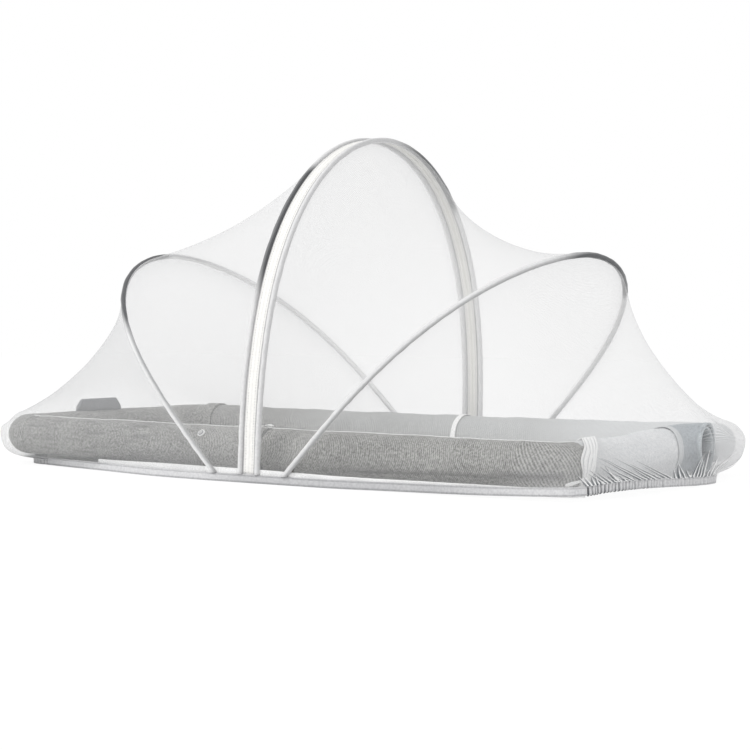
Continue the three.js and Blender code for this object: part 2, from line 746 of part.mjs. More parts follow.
// A panel between two edges of as many points, settled under an even pull. The shares say where its columns
// lie between the edges. Over the rails it pulls less along them than across them.
function drape(first, second, shares, pull, overRails = false) {
  const grid = first.map((start, i) => shares.map((share) => start.clone().lerp(second[i], share)));
  for (let turn = 0; turn < RELAX_TURNS; turn++) {
    for (let i = 1; i + 1 < grid.length; i++) {
      for (let j = 1; j + 1 < shares.length; j++) {
        const before = 1 / (shares[j] - shares[j - 1]);
        const after = 1 / (shares[j + 1] - shares[j]);
        const down = grid[i][j - 1].clone().multiplyScalar(before)
          .addScaledVector(grid[i][j + 1], after).divideScalar(before + after);
        const along = grid[i - 1][j].clone().add(grid[i + 1][j]).multiplyScalar(0.5);
        grid[i][j].copy(down.lerp(along, overRails ? pull * (1 - shares[j]) : pull));
        if (overRails) keepClear(grid[i][j]);
      }
    }
  }
  return grid;
}

// A panel's edge along a sleeve: beside the rod, on the side that faces the other edge.
function besideSleeve(line, other) {
  return line.map((point, i) => {
    const tangent = tangentAt(line, i);
    const towards = other[i].clone().sub(point);
    towards.addScaledVector(tangent, -towards.dot(tangent)).normalize();
    return point.clone().addScaledVector(towards, SLEEVE_RADIUS + EDGE_GAP);
  });
}

// Slides an edge's two end points along it to the level of the hem tape's top.
function levelEnds(edge) {
  const level = HOOP_FOOT + EDGE_GAP;
  for (const i of [0, edge.length - 1]) {
    const tangent = tangentAt(edge, i);
    edge[i].addScaledVector(tangent, (level - edge[i].z) / tangent.z);
  }
  return edge;
}

// A panel between a side hoop and the rod of the arch next to it.
function innerPanel(hoop, shift, pull) {
  const sideLine = hoopStations(hoop);
  const archLine = hoopStations(HOOPS.arch, shift);
  const sideEdge = levelEnds(besideSleeve(sideLine, archLine));
  const archEdge = levelEnds(besideSleeve(archLine, sideLine));
  return sheet(drape(sideEdge, archEdge, evenShares(6), pull), NET_THICKNESS);
}

const END_SHARES = [0, 0.17, 0.33, 0.48, 0.61, 0.72, 0.8, 0.86, 0.905, 0.94, 0.972, 1];
const SKIRT_SHARES = [0.25, 0.5, 0.75, 1];
const END_SKIP = 1; // stations left out at each of a rod's feet, where the wedge beside it is too narrow
const FOOT_ROWS = 5; // rows from a rod's foot to where the panel first lies out over the rails
const SHOULDER = 58; // height at which the panel leaves the rails and hangs down as a skirt

// The line round the outside of the rails where an end panel turns down: side is -1 at the head end.
const OUTSIDE = {
  head: { side: -1, end: 551.5, halfWidth: 274, nearCorner: 82, farCorner: 82 },
  foot: { side: 1, end: 565, halfWidth: 274, nearCorner: 84, farCorner: 30 },
};

function outsideLine({ side, end, halfWidth, nearCorner, farCorner }, hem) {
  const points = [vector(hem[0].x, -halfWidth, SHOULDER)];
  const steps = 6;
  for (const [far, radius] of [[-1, nearCorner], [1, farCorner]]) {
    for (let k = 0; k <= steps; k++) {
      const turn = (far < 0 ? k / steps : 1 - k / steps) * QUARTER;
      const x = side * (end - radius + radius * Math.sin(turn));
      points.push(vector(x, far * (halfWidth - radius + radius * Math.cos(turn)), SHOULDER));
    }
  }
  points.push(vector(hem[hem.length - 1].x, halfWidth, SHOULDER));
  return points;
}

// From the shoulder down to the hem. Where the hem lies further in than the shoulder, under the rail, the
// skirt goes round the rail and under it.
function skirt(over, hem, side) {
  const middle = vector(side * 300, 0, 0);
  const flat = (point) => point.clone().setZ(0).distanceTo(middle);
  const tuck = THREE.MathUtils.clamp((flat(over) - flat(hem)) / 20, 0, 1);
  const upper = over.clone().lerp(hem, 1 / 3).lerp(over.clone().setZ(over.z - 0.6 * (over.z - hem.z)), tuck);
  const lower = over.clone().lerp(hem, 2 / 3).lerp(over.clone().lerp(hem, 0.1).setZ(hem.z), tuck);
  const curve = new THREE.CubicBezierCurve3(over, upper, lower, hem);
  return SKIRT_SHARES.map((share) => curve.getPoint(share));
}

// A panel between a side hoop and the hem, over the rails. The hem's line runs from the near foot.
function endPanel(hoop, outside, pull) {
  const hemPoints = hemOfEnd(outside, hoop);
  const rod = hoopStations(hoop).slice(END_SKIP, -END_SKIP);
  const shares = evenShares(rod.length - 1);
  const hem = pointsAt(hemPoints, shares).map((p) => p.setZ(p.z + TAPE_HEIGHT + HEM_GAP));
  const edge = besideSleeve(rod, hem);
  const shoulder = pointsAt(outsideLine(outside, hemPoints), shares).map((point, i) => {
    const fromFoot = Math.min(i, shares.length - 1 - i) / FOOT_ROWS;
    const out = THREE.MathUtils.smoothstep(fromFoot, 0, 1);
    return edge[i].clone().lerp(hem[i], 0.6).lerp(point, out);
  });
  const grid = drape(edge, shoulder, END_SHARES, pull, true);
  const rows = grid.map((row, i) => [...row, ...skirt(shoulder[i], hem[i], outside.side)]);
  return sheet(rows, NET_THICKNESS);
}

const WEDGE = 27; // from a rod's foot to where the end panel starts on the tape

// The part of the hem's line that an end panel is sewn to.
function hemOfEnd({ side }, { feet }) {
  const whole = hemLine(0, HEM_ROWS.length).filter((p) =>
    side * p.x > side * (p.y < 0 ? feet.near : feet.far) + WEDGE);
  if (side > 0) return whole;
  const gap = whole.findIndex((p, i) => i > 0 && p.y > 0 && whole[i - 1].y < 0);
  return [...whole.slice(gap), ...whole.slice(0, gap)].reverse();
}

// ---- the whole ----

const model = new THREE.Group();

function add(name, geometry, finish) {
  const mesh = new THREE.Mesh(geometry, finish);
  mesh.name = name;
  model.add(mesh);
}

const melange = material(COLOURS.melange, 0.95);
const paleCover = material(COLOURS.paleCover, 0.95);
const cotton = material(COLOURS.whiteCotton, 0.9);
const netting = material(COLOURS.netting, 0.7);
const piping = material(COLOURS.piping, 0.8);
const zip = material(COLOURS.zip, 0.7);
const hemTape = material(COLOURS.hemTape, 0.8);
const tabCloth = material(COLOURS.darkTab, 0.95);
const button = material(COLOURS.button, 0.35);

add("bed_mat", bedMat(), cotton);
add("mattress", mattress(), cotton);
add("rail_near", skin(nearRailStations()), melange);
add("rail_head", skin(headRailStations()), melange);
add("rail_far", skin(farRailStations()), melange);
add("roll_foot", footRoll(), paleCover);
add("head_tab", headTab(), tabCloth);
add("rail_flap", railFlap(), melange);
add("rail_button", railButton(), button);
add("strap_near", sideStrap(-1, 12, STUFFING.near), cotton);
add("strap_far", sideStrap(1, 67, STUFFING.far), cotton);
add("strap_corner", cornerStrap(), cotton);
add("strap_tie", strapTie(), cotton);
add("roll_band", rollBand(), cotton);

add("hoop_head", sleeve(HOOPS.head, 0), piping);
add("arch_head", sleeve(HOOPS.arch, -PIPING_SHIFT), piping);
add("arch_foot", sleeve(HOOPS.arch, PIPING_SHIFT), piping);
add("hoop_foot", sleeve(HOOPS.foot, 0), piping);
add("zip_tape", zipTape(), zip);

add("net_head_end", endPanel(HOOPS.head, OUTSIDE.head, PULL.headEnd), netting);
add("net_head", innerPanel(HOOPS.head, -PIPING_SHIFT, PULL.head), netting);
add("net_foot", innerPanel(HOOPS.foot, PIPING_SHIFT, PULL.foot), netting);
add("net_foot_end", endPanel(HOOPS.foot, OUTSIDE.foot, PULL.footEnd), netting);

add("tape_near", hemStrip(HEM_STARTS.near, HEM_STARTS.foot, 60, TAPE_THICKNESS), hemTape);
add("tape_far", hemStrip(HEM_STARTS.far, HEM_STARTS.head, 28, TAPE_THICKNESS), hemTape);
add("elastic_foot", hemStrip(HEM_STARTS.foot, HEM_STARTS.far, 48, ELASTIC_THICKNESS, 0.7), hemTape);
add("elastic_head", hemStrip(HEM_STARTS.head, HEM_STARTS.end, 26, ELASTIC_THICKNESS), hemTape);

// The origin goes to the middle of the whole thing, on the surface.
const bounds = new THREE.Box3().setFromObject(model);
const middle = bounds.getCenter(new THREE.Vector3());
for (const mesh of model.children) mesh.geometry.translate(-middle.x, -middle.y, -bounds.min.z);

export default model;
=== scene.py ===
# %% [markdown]
# # A pop-up mosquito net over a padded crib top
# The net is a small tent: four bowed rods in sleeves hold four panels of netting, and its hem lies round a
# padded bed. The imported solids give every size. Here each cloth piece is made again on the same lines, finer
# and with its folds, and gets a finish that follows what it is made of.

import math

import bmesh
import bpy
import numpy as np
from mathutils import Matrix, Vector


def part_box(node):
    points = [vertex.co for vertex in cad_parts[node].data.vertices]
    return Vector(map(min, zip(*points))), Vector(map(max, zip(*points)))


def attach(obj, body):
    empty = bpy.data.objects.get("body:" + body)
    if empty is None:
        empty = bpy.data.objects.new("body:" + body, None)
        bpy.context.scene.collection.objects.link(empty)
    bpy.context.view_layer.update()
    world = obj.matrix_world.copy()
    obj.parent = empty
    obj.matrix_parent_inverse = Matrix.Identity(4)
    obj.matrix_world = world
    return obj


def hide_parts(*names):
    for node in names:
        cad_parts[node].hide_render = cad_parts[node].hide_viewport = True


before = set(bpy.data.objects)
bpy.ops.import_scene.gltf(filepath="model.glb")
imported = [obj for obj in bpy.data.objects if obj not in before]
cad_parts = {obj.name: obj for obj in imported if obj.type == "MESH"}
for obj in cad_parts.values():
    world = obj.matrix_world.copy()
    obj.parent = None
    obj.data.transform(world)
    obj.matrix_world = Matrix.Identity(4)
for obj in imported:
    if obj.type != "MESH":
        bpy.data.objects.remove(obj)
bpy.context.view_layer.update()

# %% [markdown]
# ## Where the pieces are
# The cloth is worked out in millimetres from the middle of the bed, as a cutter would. The mat's box says
# where that middle lies in the model, so one shift puts every piece in its place.

# %% Millimetres from the middle of the bed
MAT_MIDDLE = -4.0  # the mat lies this far towards the head end
LOW, HIGH = (np.array(corner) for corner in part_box("bed_mat"))
SHIFT = np.array([(LOW[0] + HIGH[0]) / 2 - MAT_MIDDLE / 1000, (LOW[1] + HIGH[1]) / 2, LOW[2]])
UP = np.array([0.0, 0.0, 1.0])


def in_metres(points):
    return np.asarray(points, float) / 1000 + SHIFT


print("middle of the bed:", SHIFT.round(4))

# %% [markdown]
# ## Camera and light
# The camera looks at the near side from a little above the floor. Light comes from a pale room and two soft
# boxes, at a level where a colour looks as it is written. The floor and the room are white to the camera.

# %% Camera
AZIMUTH, ELEVATION = math.radians(36.165), math.radians(1.923)
CAMERA_PLACE = Vector((1.8445, -2.4538, 0.2511))  # metres, from the middle of the bed
scene = bpy.context.scene
camera_data = bpy.data.cameras.new("camera")
camera_data.lens = 93.13
camera_data.sensor_width = 36
camera = bpy.data.objects.new("camera", camera_data)
camera.location = CAMERA_PLACE + Vector(SHIFT)
camera.rotation_euler = (math.pi / 2 - ELEVATION, 0, AZIMUTH)
scene.collection.objects.link(camera)
scene.camera = camera
print("camera at", [round(v, 3) for v in camera.location])


# %% Short functions for shader nodes and colours
def linear(hex_colour):
    """An sRGB hex colour as linear values."""
    parts = [int(hex_colour[i : i + 2], 16) / 255 for i in (1, 3, 5)]
    return tuple(p / 12.92 if p <= 0.04045 else ((p + 0.055) / 1.055) ** 2.4 for p in parts) + (1.0,)


def empty_tree(owner):
    owner.use_nodes = True
    owner.node_tree.nodes.clear()
    return owner.node_tree


def add(tree, kind, inputs=None, **settings):
    """The outputs of a new node. An input is a value, or the output that feeds it."""
    made = tree.nodes.new(kind)
    for name, value in settings.items():
        setattr(made, name, value)
    for name, value in (inputs or {}).items():
        socket = made.inputs[name]
        if isinstance(value, bpy.types.NodeSocket):
            tree.links.new(value, socket)
        else:
            socket.default_value = value
    return made.outputs


def calc(tree, operation, *values, clamp=False):
    return add(tree, "ShaderNodeMath", dict(enumerate(values)), operation=operation, use_clamp=clamp)[0]


def blend(tree, share, first, second):
    """The first colour where the share is 0, the second where it is 1."""
    return add(tree, "ShaderNodeMix", {0: share, 6: first, 7: second}, data_type="RGBA")[2]


# %% The pale room
WHITE = linear("#FFFFFF")
scene.view_settings.view_transform = "Standard"
scene.cycles.transparent_max_bounces = 32
scene.world = bpy.data.worlds.new("pale room")
tree = empty_tree(scene.world)
rays = add(tree, "ShaderNodeLightPath")
seen = calc(tree, "MAXIMUM", rays["Is Camera Ray"], rays["Is Glossy Ray"])
seen = calc(tree, "MAXIMUM", seen, rays["Is Transmission Ray"])
room, white = (add(tree, "ShaderNodeBackground", {"Color": WHITE, "Strength": strength})[0]
               for strength in (0.76, 1.0))
both = add(tree, "ShaderNodeMixShader", {0: seen, 1: room, 2: white})[0]
add(tree, "ShaderNodeOutputWorld", {"Surface": both})


# %% Soft boxes
def soft_box(name, place, aim, size, power):
    lamp = bpy.data.lights.new(name, "AREA")
    lamp.shape = "RECTANGLE"
    lamp.size, lamp.size_y = size
    lamp.energy = power
    lamp_object = bpy.data.objects.new(name, lamp)
    lamp_object.location = place
    lamp_object.rotation_euler = (Vector(aim) - Vector(place)).to_track_quat("-Z", "Y").to_euler()
    scene.collection.objects.link(lamp_object)


soft_box("key", (-1.6, -2.2, 2.4), aim=(0, 0, 0.15), size=(0.9, 0.9), power=42)
soft_box("fill", (2.6, -1.2, 1.6), aim=(0.1, 0, 0.1), size=(1.8, 1.8), power=12)

# %% Floor
FLOOR_HALF, FLOOR_HEIGHT = 6, -0.0005
floor_corners = [(x * FLOOR_HALF, y * FLOOR_HALF, FLOOR_HEIGHT)
                 for x, y in ((-1, -1), (1, -1), (1, 1), (-1, 1))]
floor_mesh = bpy.data.meshes.new("floor")
floor_mesh.from_pydata(floor_corners, [], [(0, 1, 2, 3)])
floor = bpy.data.objects.new("floor", floor_mesh)
scene.collection.objects.link(floor)
paper = bpy.data.materials.new("white studio paper")
tree = empty_tree(paper)
matte, faint = (add(tree, "ShaderNodeBsdfDiffuse", {"Color": linear(tone)})[0]
                for tone in ("#FAFAFA", "#5A5A5A"))
glow = add(tree, "ShaderNodeEmission", {"Color": WHITE, "Strength": 0.925})[0]
lit = add(tree, "ShaderNodeAddShader", {0: faint, 1: glow})[0]
to_camera = add(tree, "ShaderNodeLightPath")["Is Camera Ray"]
both = add(tree, "ShaderNodeMixShader", {0: to_camera, 1: matte, 2: lit})[0]
add(tree, "ShaderNodeOutputMaterial", {"Surface": both})
floor_mesh.materials.append(paper)

# %% [markdown]
# ## Finishes
# Every cloth here is thread: knitted, woven or open netting. What the eye reads is the thread's colour, its
# mixture, the small relief and, for netting, how much of the view the threads cover. Each piece carries a
# map in millimetres, u along it and v across, so that a pattern has a real spacing.


# %% What the finishes share
def place_on_cloth(tree):
    """u along the piece and v across it, in mm."""
    place = add(tree, "ShaderNodeUVMap", uv_map="cloth")[0]
    return add(tree, "ShaderNodeSeparateXYZ", {0: place})[:2]


def noise(tree, scale, detail=2.0):
    place = add(tree, "ShaderNodeTexCoord")["Object"]
    return add(tree, "ShaderNodeTexNoise", {"Vector": place, "Scale": scale, "Detail": detail})[0]


def bump(tree, height, strength, distance):
    return add(tree, "ShaderNodeBump", {"Height": height, "Strength": strength, "Distance": distance})[0]


def mark(tree, name):
    """How strongly the piece is marked, from 0 to 1."""
    return add(tree, "ShaderNodeAttribute", attribute_name=name)["Fac"]


def skinned(made, looks):
    skin = add(made.node_tree, "ShaderNodeBsdfPrincipled", looks)[0]
    add(made.node_tree, "ShaderNodeOutputMaterial", {"Surface": skin})
    return made


# %% A cloth finish: two thread colours mixed by fine noise, and ribs with a real spacing
FINE_MOTTLE, BROAD_MOTTLE = 330.0, 22.0  # the scales of the noise, for a metre of cloth
RIB_HEIGHT = 0.0004  # in metres


def cloth_finish(name, light, dark, spacing, relief=0.3, roughness=0.9, slant=0.0, ribs=0.22, deep="#4A4A4A"):
    """spacing is from rib to rib in mm, slant turns the ribs, ribs is how much they show, and deep is the
    painted shade colour, mixed in where a piece is marked with shade, as in its folds, creases and hollows."""
    made = bpy.data.materials.new(name)
    tree = empty_tree(made)
    u, v = place_on_cloth(tree)
    turns = 2 * math.pi / spacing
    line = calc(tree, "ADD", u, calc(tree, "MULTIPLY", v, slant))
    rib = calc(tree, "SINE", calc(tree, "MULTIPLY", line, turns))
    weft = calc(tree, "SINE", calc(tree, "MULTIPLY", v, turns))
    weave = calc(tree, "MULTIPLY", rib, calc(tree, "MULTIPLY_ADD", weft, 0.5, 0.7))
    fine, broad = noise(tree, FINE_MOTTLE, 3.0), noise(tree, BROAD_MOTTLE)
    share = add(tree, "ShaderNodeMapRange", {0: fine, 1: 0.27, 2: 0.73})[0]
    share = calc(tree, "MULTIPLY_ADD", weave, ribs, share, clamp=True)
    share = calc(tree, "SUBTRACT", calc(tree, "MULTIPLY_ADD", broad, 0.35, share), 0.17, clamp=True)
    colour = blend(tree, share, linear(dark), linear(light))
    return skinned(made, {
        "Base Color": blend(tree, mark(tree, "shade"), colour, linear(deep)), "Roughness": roughness,
        "Normal": bump(tree, calc(tree, "ADD", weave, fine), relief, RIB_HEIGHT),
        "Sheen Weight": 0.15, "Sheen Roughness": 0.5, "Specular IOR Level": 0.25})


# Melange knit: pale and dark grey yarn in one thread, which gives a soft mottled grey with dotted ribs.
# Real ribs are about a millimetre apart. Here they are 3 to 5 mm apart, so that they still show.
MELANGE_KNIT = cloth_finish("melange knit", "#B9B9B5", "#4C4C49", 3.2, slant=0.3, relief=0.3, ribs=0.46)
FAR_KNIT = cloth_finish("melange knit, paler towards the foot", "#B4B4B1", "#565654", 3.8, slant=0.12,
                        relief=0.3, ribs=0.55, deep="#E4E6E7")
PALE_KNIT = cloth_finish("pale melange knit", "#FFFFFF", "#CCD0D3", 3.8, slant=0.5, relief=0.4, ribs=0.3)
BLUE_GREY_KNIT = cloth_finish("blue grey melange knit", "#C0C6CA", "#949BA1", 4.6, slant=0.4, relief=0.4,
                              deep="#565C61")
CURL_KNIT = cloth_finish("blue grey melange knit, the paler side", "#D3DADD", "#B2B9BD", 3.0, relief=0.3,
                         deep="#6E767B")
DARK_FELT = cloth_finish("dark grey felted cloth", "#98999B", "#787A7C", 2.0, relief=0.3)
# Cotton webbing and sheeting: bleached thread in close ribs.
COTTON_WEBBING = cloth_finish("bleached cotton webbing", "#FFFFFF", "#F6F6F5", 1.6, relief=0.2,
                              deep="#A9ABAE")
ROLL_BAND = cloth_finish("pale grey cotton tape", "#DCDEDF", "#CBCDCF", 1.6, relief=0.25)
COTTON_SHEETING = cloth_finish("bleached cotton sheeting", "#F4F4F2", "#E8E8E6", 1.2, relief=0.15)
# Polyester tapes: a slight shine, ribs across the tape.
SLEEVE_TAPE = cloth_finish("grey polyester sleeve tape", "#F4F4F4", "#E2E2E3", 1.8, roughness=0.7,
                           deep="#5C5D5F")
HEM_TAPE = cloth_finish("pale grey polyester hem tape", "#E2E2E3", "#CBCBCD", 2.0, roughness=0.7,
                        deep="#4E5054")
ZIP_TAPE = cloth_finish("cream woven zip tape", "#FBFAF7", "#F0EFEB", 1.4, roughness=0.65, deep="#8A8B90")
print("cloth finishes:", len([m for m in bpy.data.materials if m.use_nodes]))


# %% [markdown]
# ### Netting
# Fine polyester netting, drawn with threads a quarter of a millimetre thick and holes of a millimetre between
# them. From a step away the threads aren't seen one by one; they make a thin veil that covers about a quarter
# of the view, and more where the cloth is seen at a slant or lies in gathers. Each panel is marked with how
# tightly it is gathered, and the veil thickens with that mark.

# %% The netting's finish
THREADS_PER_MM, HALF_THREAD = 0.8, 0.1  # half a thread's thickness, as a share of the spacing


def netting_finish(name, colour, thread, hole):
    """thread and hole say how much of the view a thread and a hole cover."""
    made = bpy.data.materials.new(name)
    tree = empty_tree(made)
    offs = [calc(tree, "PINGPONG", calc(tree, "MULTIPLY", way, THREADS_PER_MM), 0.5)
            for way in place_on_cloth(tree)]
    mesh = calc(tree, "MAXIMUM", *(calc(tree, "LESS_THAN", off, HALF_THREAD) for off in offs))
    veil = calc(tree, "MULTIPLY_ADD", mesh, thread - hole, hole)
    slant = calc(tree, "POWER", add(tree, "ShaderNodeLayerWeight", {"Blend": 0.3})["Facing"], 3.0)
    veil = calc(tree, "MULTIPLY_ADD", slant, 0.35, veil)
    # The shade mark mixes the thread colour towards grey: painted shade on the netting.
    return skinned(made, {
        "Base Color": blend(tree, mark(tree, "shade"), linear(colour), linear("#5E6368")), "Roughness": 0.75,
        "Alpha": calc(tree, "MULTIPLY_ADD", mark(tree, "gather"), 0.75, veil, clamp=True),
        "Specular IOR Level": 0.2})


NETTING = netting_finish("fine polyester netting", "#E6E6E7", 0.46, 0.12)
# In a gather the threads lie close. Its white thread colour, paler than plain netting, is a painted
# highlight on the folds' crests.
GATHERED_NETTING = netting_finish("fine polyester netting, gathered", "#FFFFFF", 0.34, 0.26)

# %% Press button: moulded acetal, smooth and a little shiny
ACETAL = bpy.data.materials.new("moulded white acetal")
tree = empty_tree(ACETAL)
skinned(ACETAL, {"Base Color": blend(tree, mark(tree, "shade"), linear("#F0F0F0"), linear("#77787A")),
                 "Roughness": 0.32, "IOR": 1.48, "Normal": bump(tree, noise(tree, 900.0), 0.05, 0.0002)})
print("finishes:", len(bpy.data.materials))

# %% [markdown]
# ## Cloth as a grid
# A sheet or a tube of cloth is a grid of points: rows along it and columns across. One function turns such
# a grid into a mesh with its map in millimetres, and hangs it on the body with its finish.


# %% From a grid of points to a piece
def lengths_along(points, axis):
    steps = np.linalg.norm(np.diff(points, axis=axis), axis=2)
    start = np.zeros_like(np.take(steps, [0], axis=axis))
    return np.concatenate([start, np.cumsum(steps, axis=axis)], axis=axis)


def on_body(name, mesh):
    piece = bpy.data.objects.new(name, mesh)
    scene.collection.objects.link(piece)
    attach(piece, "root")
    return piece


def cloth_mesh(name, points, faces, maps, finish, marks):
    """A mesh from points in mm, and a map in mm for each corner of each face. The marks are numbers for each
    point, such as gather or shade, that the finish reads."""
    mesh = bpy.data.meshes.new(name)
    mesh.from_pydata(in_metres(points).tolist(), [], faces)
    mesh.uv_layers.new(name="cloth").data.foreach_set("uv", np.asarray(maps, float).reshape(-1))
    for title, values in marks.items():
        attribute = mesh.attributes.new(title, "FLOAT", "POINT")
        attribute.data.foreach_set("value", np.ascontiguousarray(values, np.float32).reshape(-1))
    mesh.polygons.foreach_set("use_smooth", [True] * len(mesh.polygons))
    mesh.materials.append(finish)
    return mesh


def close_ends(mesh, rows, columns):
    work = bmesh.new()
    work.from_mesh(mesh)
    work.verts.ensure_lookup_table()
    for first in (0, (rows - 1) * columns):
        work.faces.new(work.verts[first : first + columns]).smooth = True
    bmesh.ops.recalc_face_normals(work, faces=work.faces)
    work.to_mesh(mesh)
    work.free()


def cloth_piece(name, points, finish, slot, solid=None, fill=None, tube=True, **marks):
    """A piece from rows x columns x 3 points in mm. A tube's last column joins its first, and its ends are
    closed. solid is what the piece takes the place of. fill, how full a padded piece is, is not used."""
    points = np.asarray(points, float)
    rows, columns = points.shape[:2]
    ringed = np.concatenate([points, points[:, :1]], axis=1) if tube else points
    u = np.repeat(lengths_along(ringed, 0).mean(axis=1, keepdims=True), ringed.shape[1], axis=1)
    v = np.repeat(lengths_along(ringed, 1).mean(axis=0, keepdims=True), rows, axis=0)
    i, j = np.indices((rows - 1, ringed.shape[1] - 1)).reshape(2, -1)
    corners = [(i, j), (i + 1, j), (i + 1, j + 1), (i, j + 1)]
    faces = np.stack([r * columns + c % columns for r, c in corners], axis=1)
    maps = np.stack([np.stack([u[r, c], v[r, c]], axis=1) for r, c in corners], axis=1)
    marks = {title: np.broadcast_to(values, (rows, columns)) for title, values in marks.items()}
    mesh = cloth_mesh(name, points.reshape(-1, 3), faces.tolist(), maps, finish, marks)
    if tube:
        close_ends(mesh, rows, columns)
    piece = on_body(name, mesh)
    if solid:
        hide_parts(solid)
    return piece


def ripples(x, y, size, seed):
    """A smooth uneven height between about -1 and 1, from waves about that size in mm."""
    chance = np.random.default_rng(seed)
    total = np.zeros(np.broadcast(x, y).shape)
    for _ in range(7):
        turn = chance.uniform(0, math.pi)
        wave = size * chance.uniform(0.6, 1.7)
        total += np.sin((x * math.cos(turn) + y * math.sin(turn)) * 2 * math.pi / wave
                        + chance.uniform(0, 2 * math.pi))
    return total / 3.5


# %% Shares and curves
def run_of(points):
    """How far along its line each point is."""
    return np.concatenate([[0], np.cumsum(np.linalg.norm(np.diff(points[:, :3], axis=0), axis=1))])


def points_at(points, shares):
    along = run_of(points)
    wanted = np.asarray(shares) * along[-1]
    return np.stack([np.interp(wanted, along, points[:, k]) for k in range(3)], axis=1)


def smooth_rows(grid, count):
    """The first axis on a Catmull-Rom curve through its rows, with that many rows."""
    held = np.concatenate([2 * grid[:1] - grid[1:2], grid, 2 * grid[-1:] - grid[-2:-1]])
    place = np.linspace(0, len(grid) - 1, count)
    k = np.minimum(place.astype(int), len(grid) - 2)
    t = (place - k).reshape((-1,) + (1,) * (grid.ndim - 1))
    a, b, c, d = (held[k + n] for n in range(4))
    return 0.5 * (2 * b + (c - a) * t + (2 * a - 5 * b + 4 * c - d) * t**2
                  + (3 * b - a - 3 * c + d) * t**3)


def finer(grid, rows, columns):
    return np.swapaxes(smooth_rows(np.swapaxes(smooth_rows(grid, rows), 0, 1), columns), 0, 1)


def smooth_step(start, stop, value):
    share = np.clip((value - start) / (stop - start), 0, 1)
    return share * share * (3 - 2 * share)


def bell(value, middle, width):
    """1 at the middle, and less to both sides of it."""
    return np.exp(-(((value - middle) / width) ** 2))


def full_turn(sides, first=0.5):
    return 2 * math.pi * (np.arange(sides) + first) / sides


# %% Directions, rings and sheets
def unit(vectors):
    return vectors / np.maximum(np.linalg.norm(vectors, axis=-1, keepdims=True), 1e-9)


def tangents(points):
    held = np.concatenate([points[:1], points, points[-1:]])
    return unit(held[2:] - held[:-2])


def grid_normals(grid):
    return unit(np.cross(np.gradient(grid, axis=0), np.gradient(grid, axis=1)))


def rings(line, angles, first, first_reach, second, second_reach):
    """A ring round each point of a line, from the first way at angle 0 to the second at a right angle."""
    return (line[:, None] + (first_reach * np.cos(angles))[..., None] * first
            + (second_reach * np.sin(angles))[..., None] * second)


def there_and_back(front, back):
    """Rows that run along a sheet's front and return along its back."""
    return np.concatenate([front, back[:, ::-1]], axis=1)


def two_sided(grid, thickness):
    half = grid_normals(grid) * thickness / 2
    return there_and_back(grid + half, grid - half)


# %% [markdown]
# ## The padded rails
# Each rail is a knitted cover over a round filling. A swept round would look like pipe, so its radius
# wanders a little and the cover puckers at its ends. A cloth simulation would give the same slight crown,
# so the moves are made in code, which also keeps the knit's map whole.

# %% The lines of the rails
BED_LENGTH, BED_WIDTH, RAIL_LINE = 1100.0, 530.0, 35.0
HEAD_CORNER, FOOT_CORNER = 52.0, 45.0
RAIL_Y = BED_WIDTH / 2 - RAIL_LINE
HEAD_X, FOOT_X = -BED_LENGTH / 2 + RAIL_LINE, BED_LENGTH / 2 - RAIL_LINE
HEAD_TURN = (HEAD_X + HEAD_CORNER, RAIL_Y - HEAD_CORNER)
FOOT_TURN = (FOOT_X - FOOT_CORNER, -RAIL_Y + FOOT_CORNER)
FAR_RAIL_END = BED_LENGTH / 2 - 25
FAR_RAIL_DOME = (0.2, 0.4, 0.6, 0.8, 0.95, 1.1, 1.2, 1.27)  # angles over its rounded end
SEAM = 0.3  # how far a piece lies from its neighbour
QUARTER = math.pi / 2
# place along the rail, height of its middle, and radius
STUFFING = {
    "near": [(-455, 47.5, 31.5), (-260, 45, 33), (-80, 42, 35.3), (160, 41.5, 35), (400, 41.5, 34.2),
             (560, 41, 34.5)],
    "far": [(-455, 47.5, 31.5), (-250, 43, 33.5), (100, 41.5, 34.5), (380, 43.5, 33.5), (480, 48.5, 31),
            (540, 50, 29.5)],
    "foot": [(-190, 40, 33.5), (-60, 40.5, 33.5), (60, 44.5, 34.2), (150, 50, 35.5)],
}


def stuffing_at(rail, along):
    table = np.array(STUFFING[rail], float)
    k = int(np.clip(np.searchsorted(table[:, 0], along) - 1, 0, len(table) - 2))
    eased = smooth_step(table[k, 0], table[k + 1, 0], along)
    lumps = 0.35 * math.sin(along / 23) + 0.3 * math.sin(along / 41 + 1)
    return table[k, 1:] + (table[k + 1, 1:] - table[k, 1:]) * eased + np.array([0, lumps])


def station(x, y, heading, middle, radius):
    """Where a rail's middle is, the way sideways from it, and its radius."""
    return [x, y, middle, math.sin(heading), -math.cos(heading), radius]


def straight(side, start, end, step, rail):
    xs = np.linspace(start, end, max(2, round(abs(end - start) / step) + 1))
    return [station(x, side * RAIL_Y, 0, *stuffing_at(rail, x)) for x in xs]


def turn_round(centre, radius, start, end, step, stuffing):
    way = math.copysign(1, end - start)
    made = []
    for share in np.linspace(0, 1, max(5, round(abs(end - start) * radius / step) + 1)):
        heading = start + (end - start) * share
        x = centre[0] + way * radius * math.sin(heading)
        y = centre[1] - way * radius * math.cos(heading)
        made.append(station(x, y, heading, *stuffing(y, share)))
    return made


def corner_stuffing(share):
    before, after = stuffing_at("near", FOOT_TURN[0]), stuffing_at("foot", FOOT_TURN[1])
    return before + (after - before) * share


def near_rail(step):
    return np.array(straight(-1, HEAD_TURN[0], FOOT_TURN[0], step, "near")
                    + turn_round(FOOT_TURN, FOOT_CORNER, 0, QUARTER, step,
                                 lambda y, share: corner_stuffing(share))[1:])


def far_rail(step):
    run = straight(1, HEAD_TURN[0] + SEAM, FAR_RAIL_END, step, "far")
    x, y, middle, side_x, side_y, radius = run[-1]
    for angle in FAR_RAIL_DOME:
        run.append([x + radius * math.sin(angle), y, middle, side_x, side_y, radius * math.cos(angle)])
    return np.array(run)


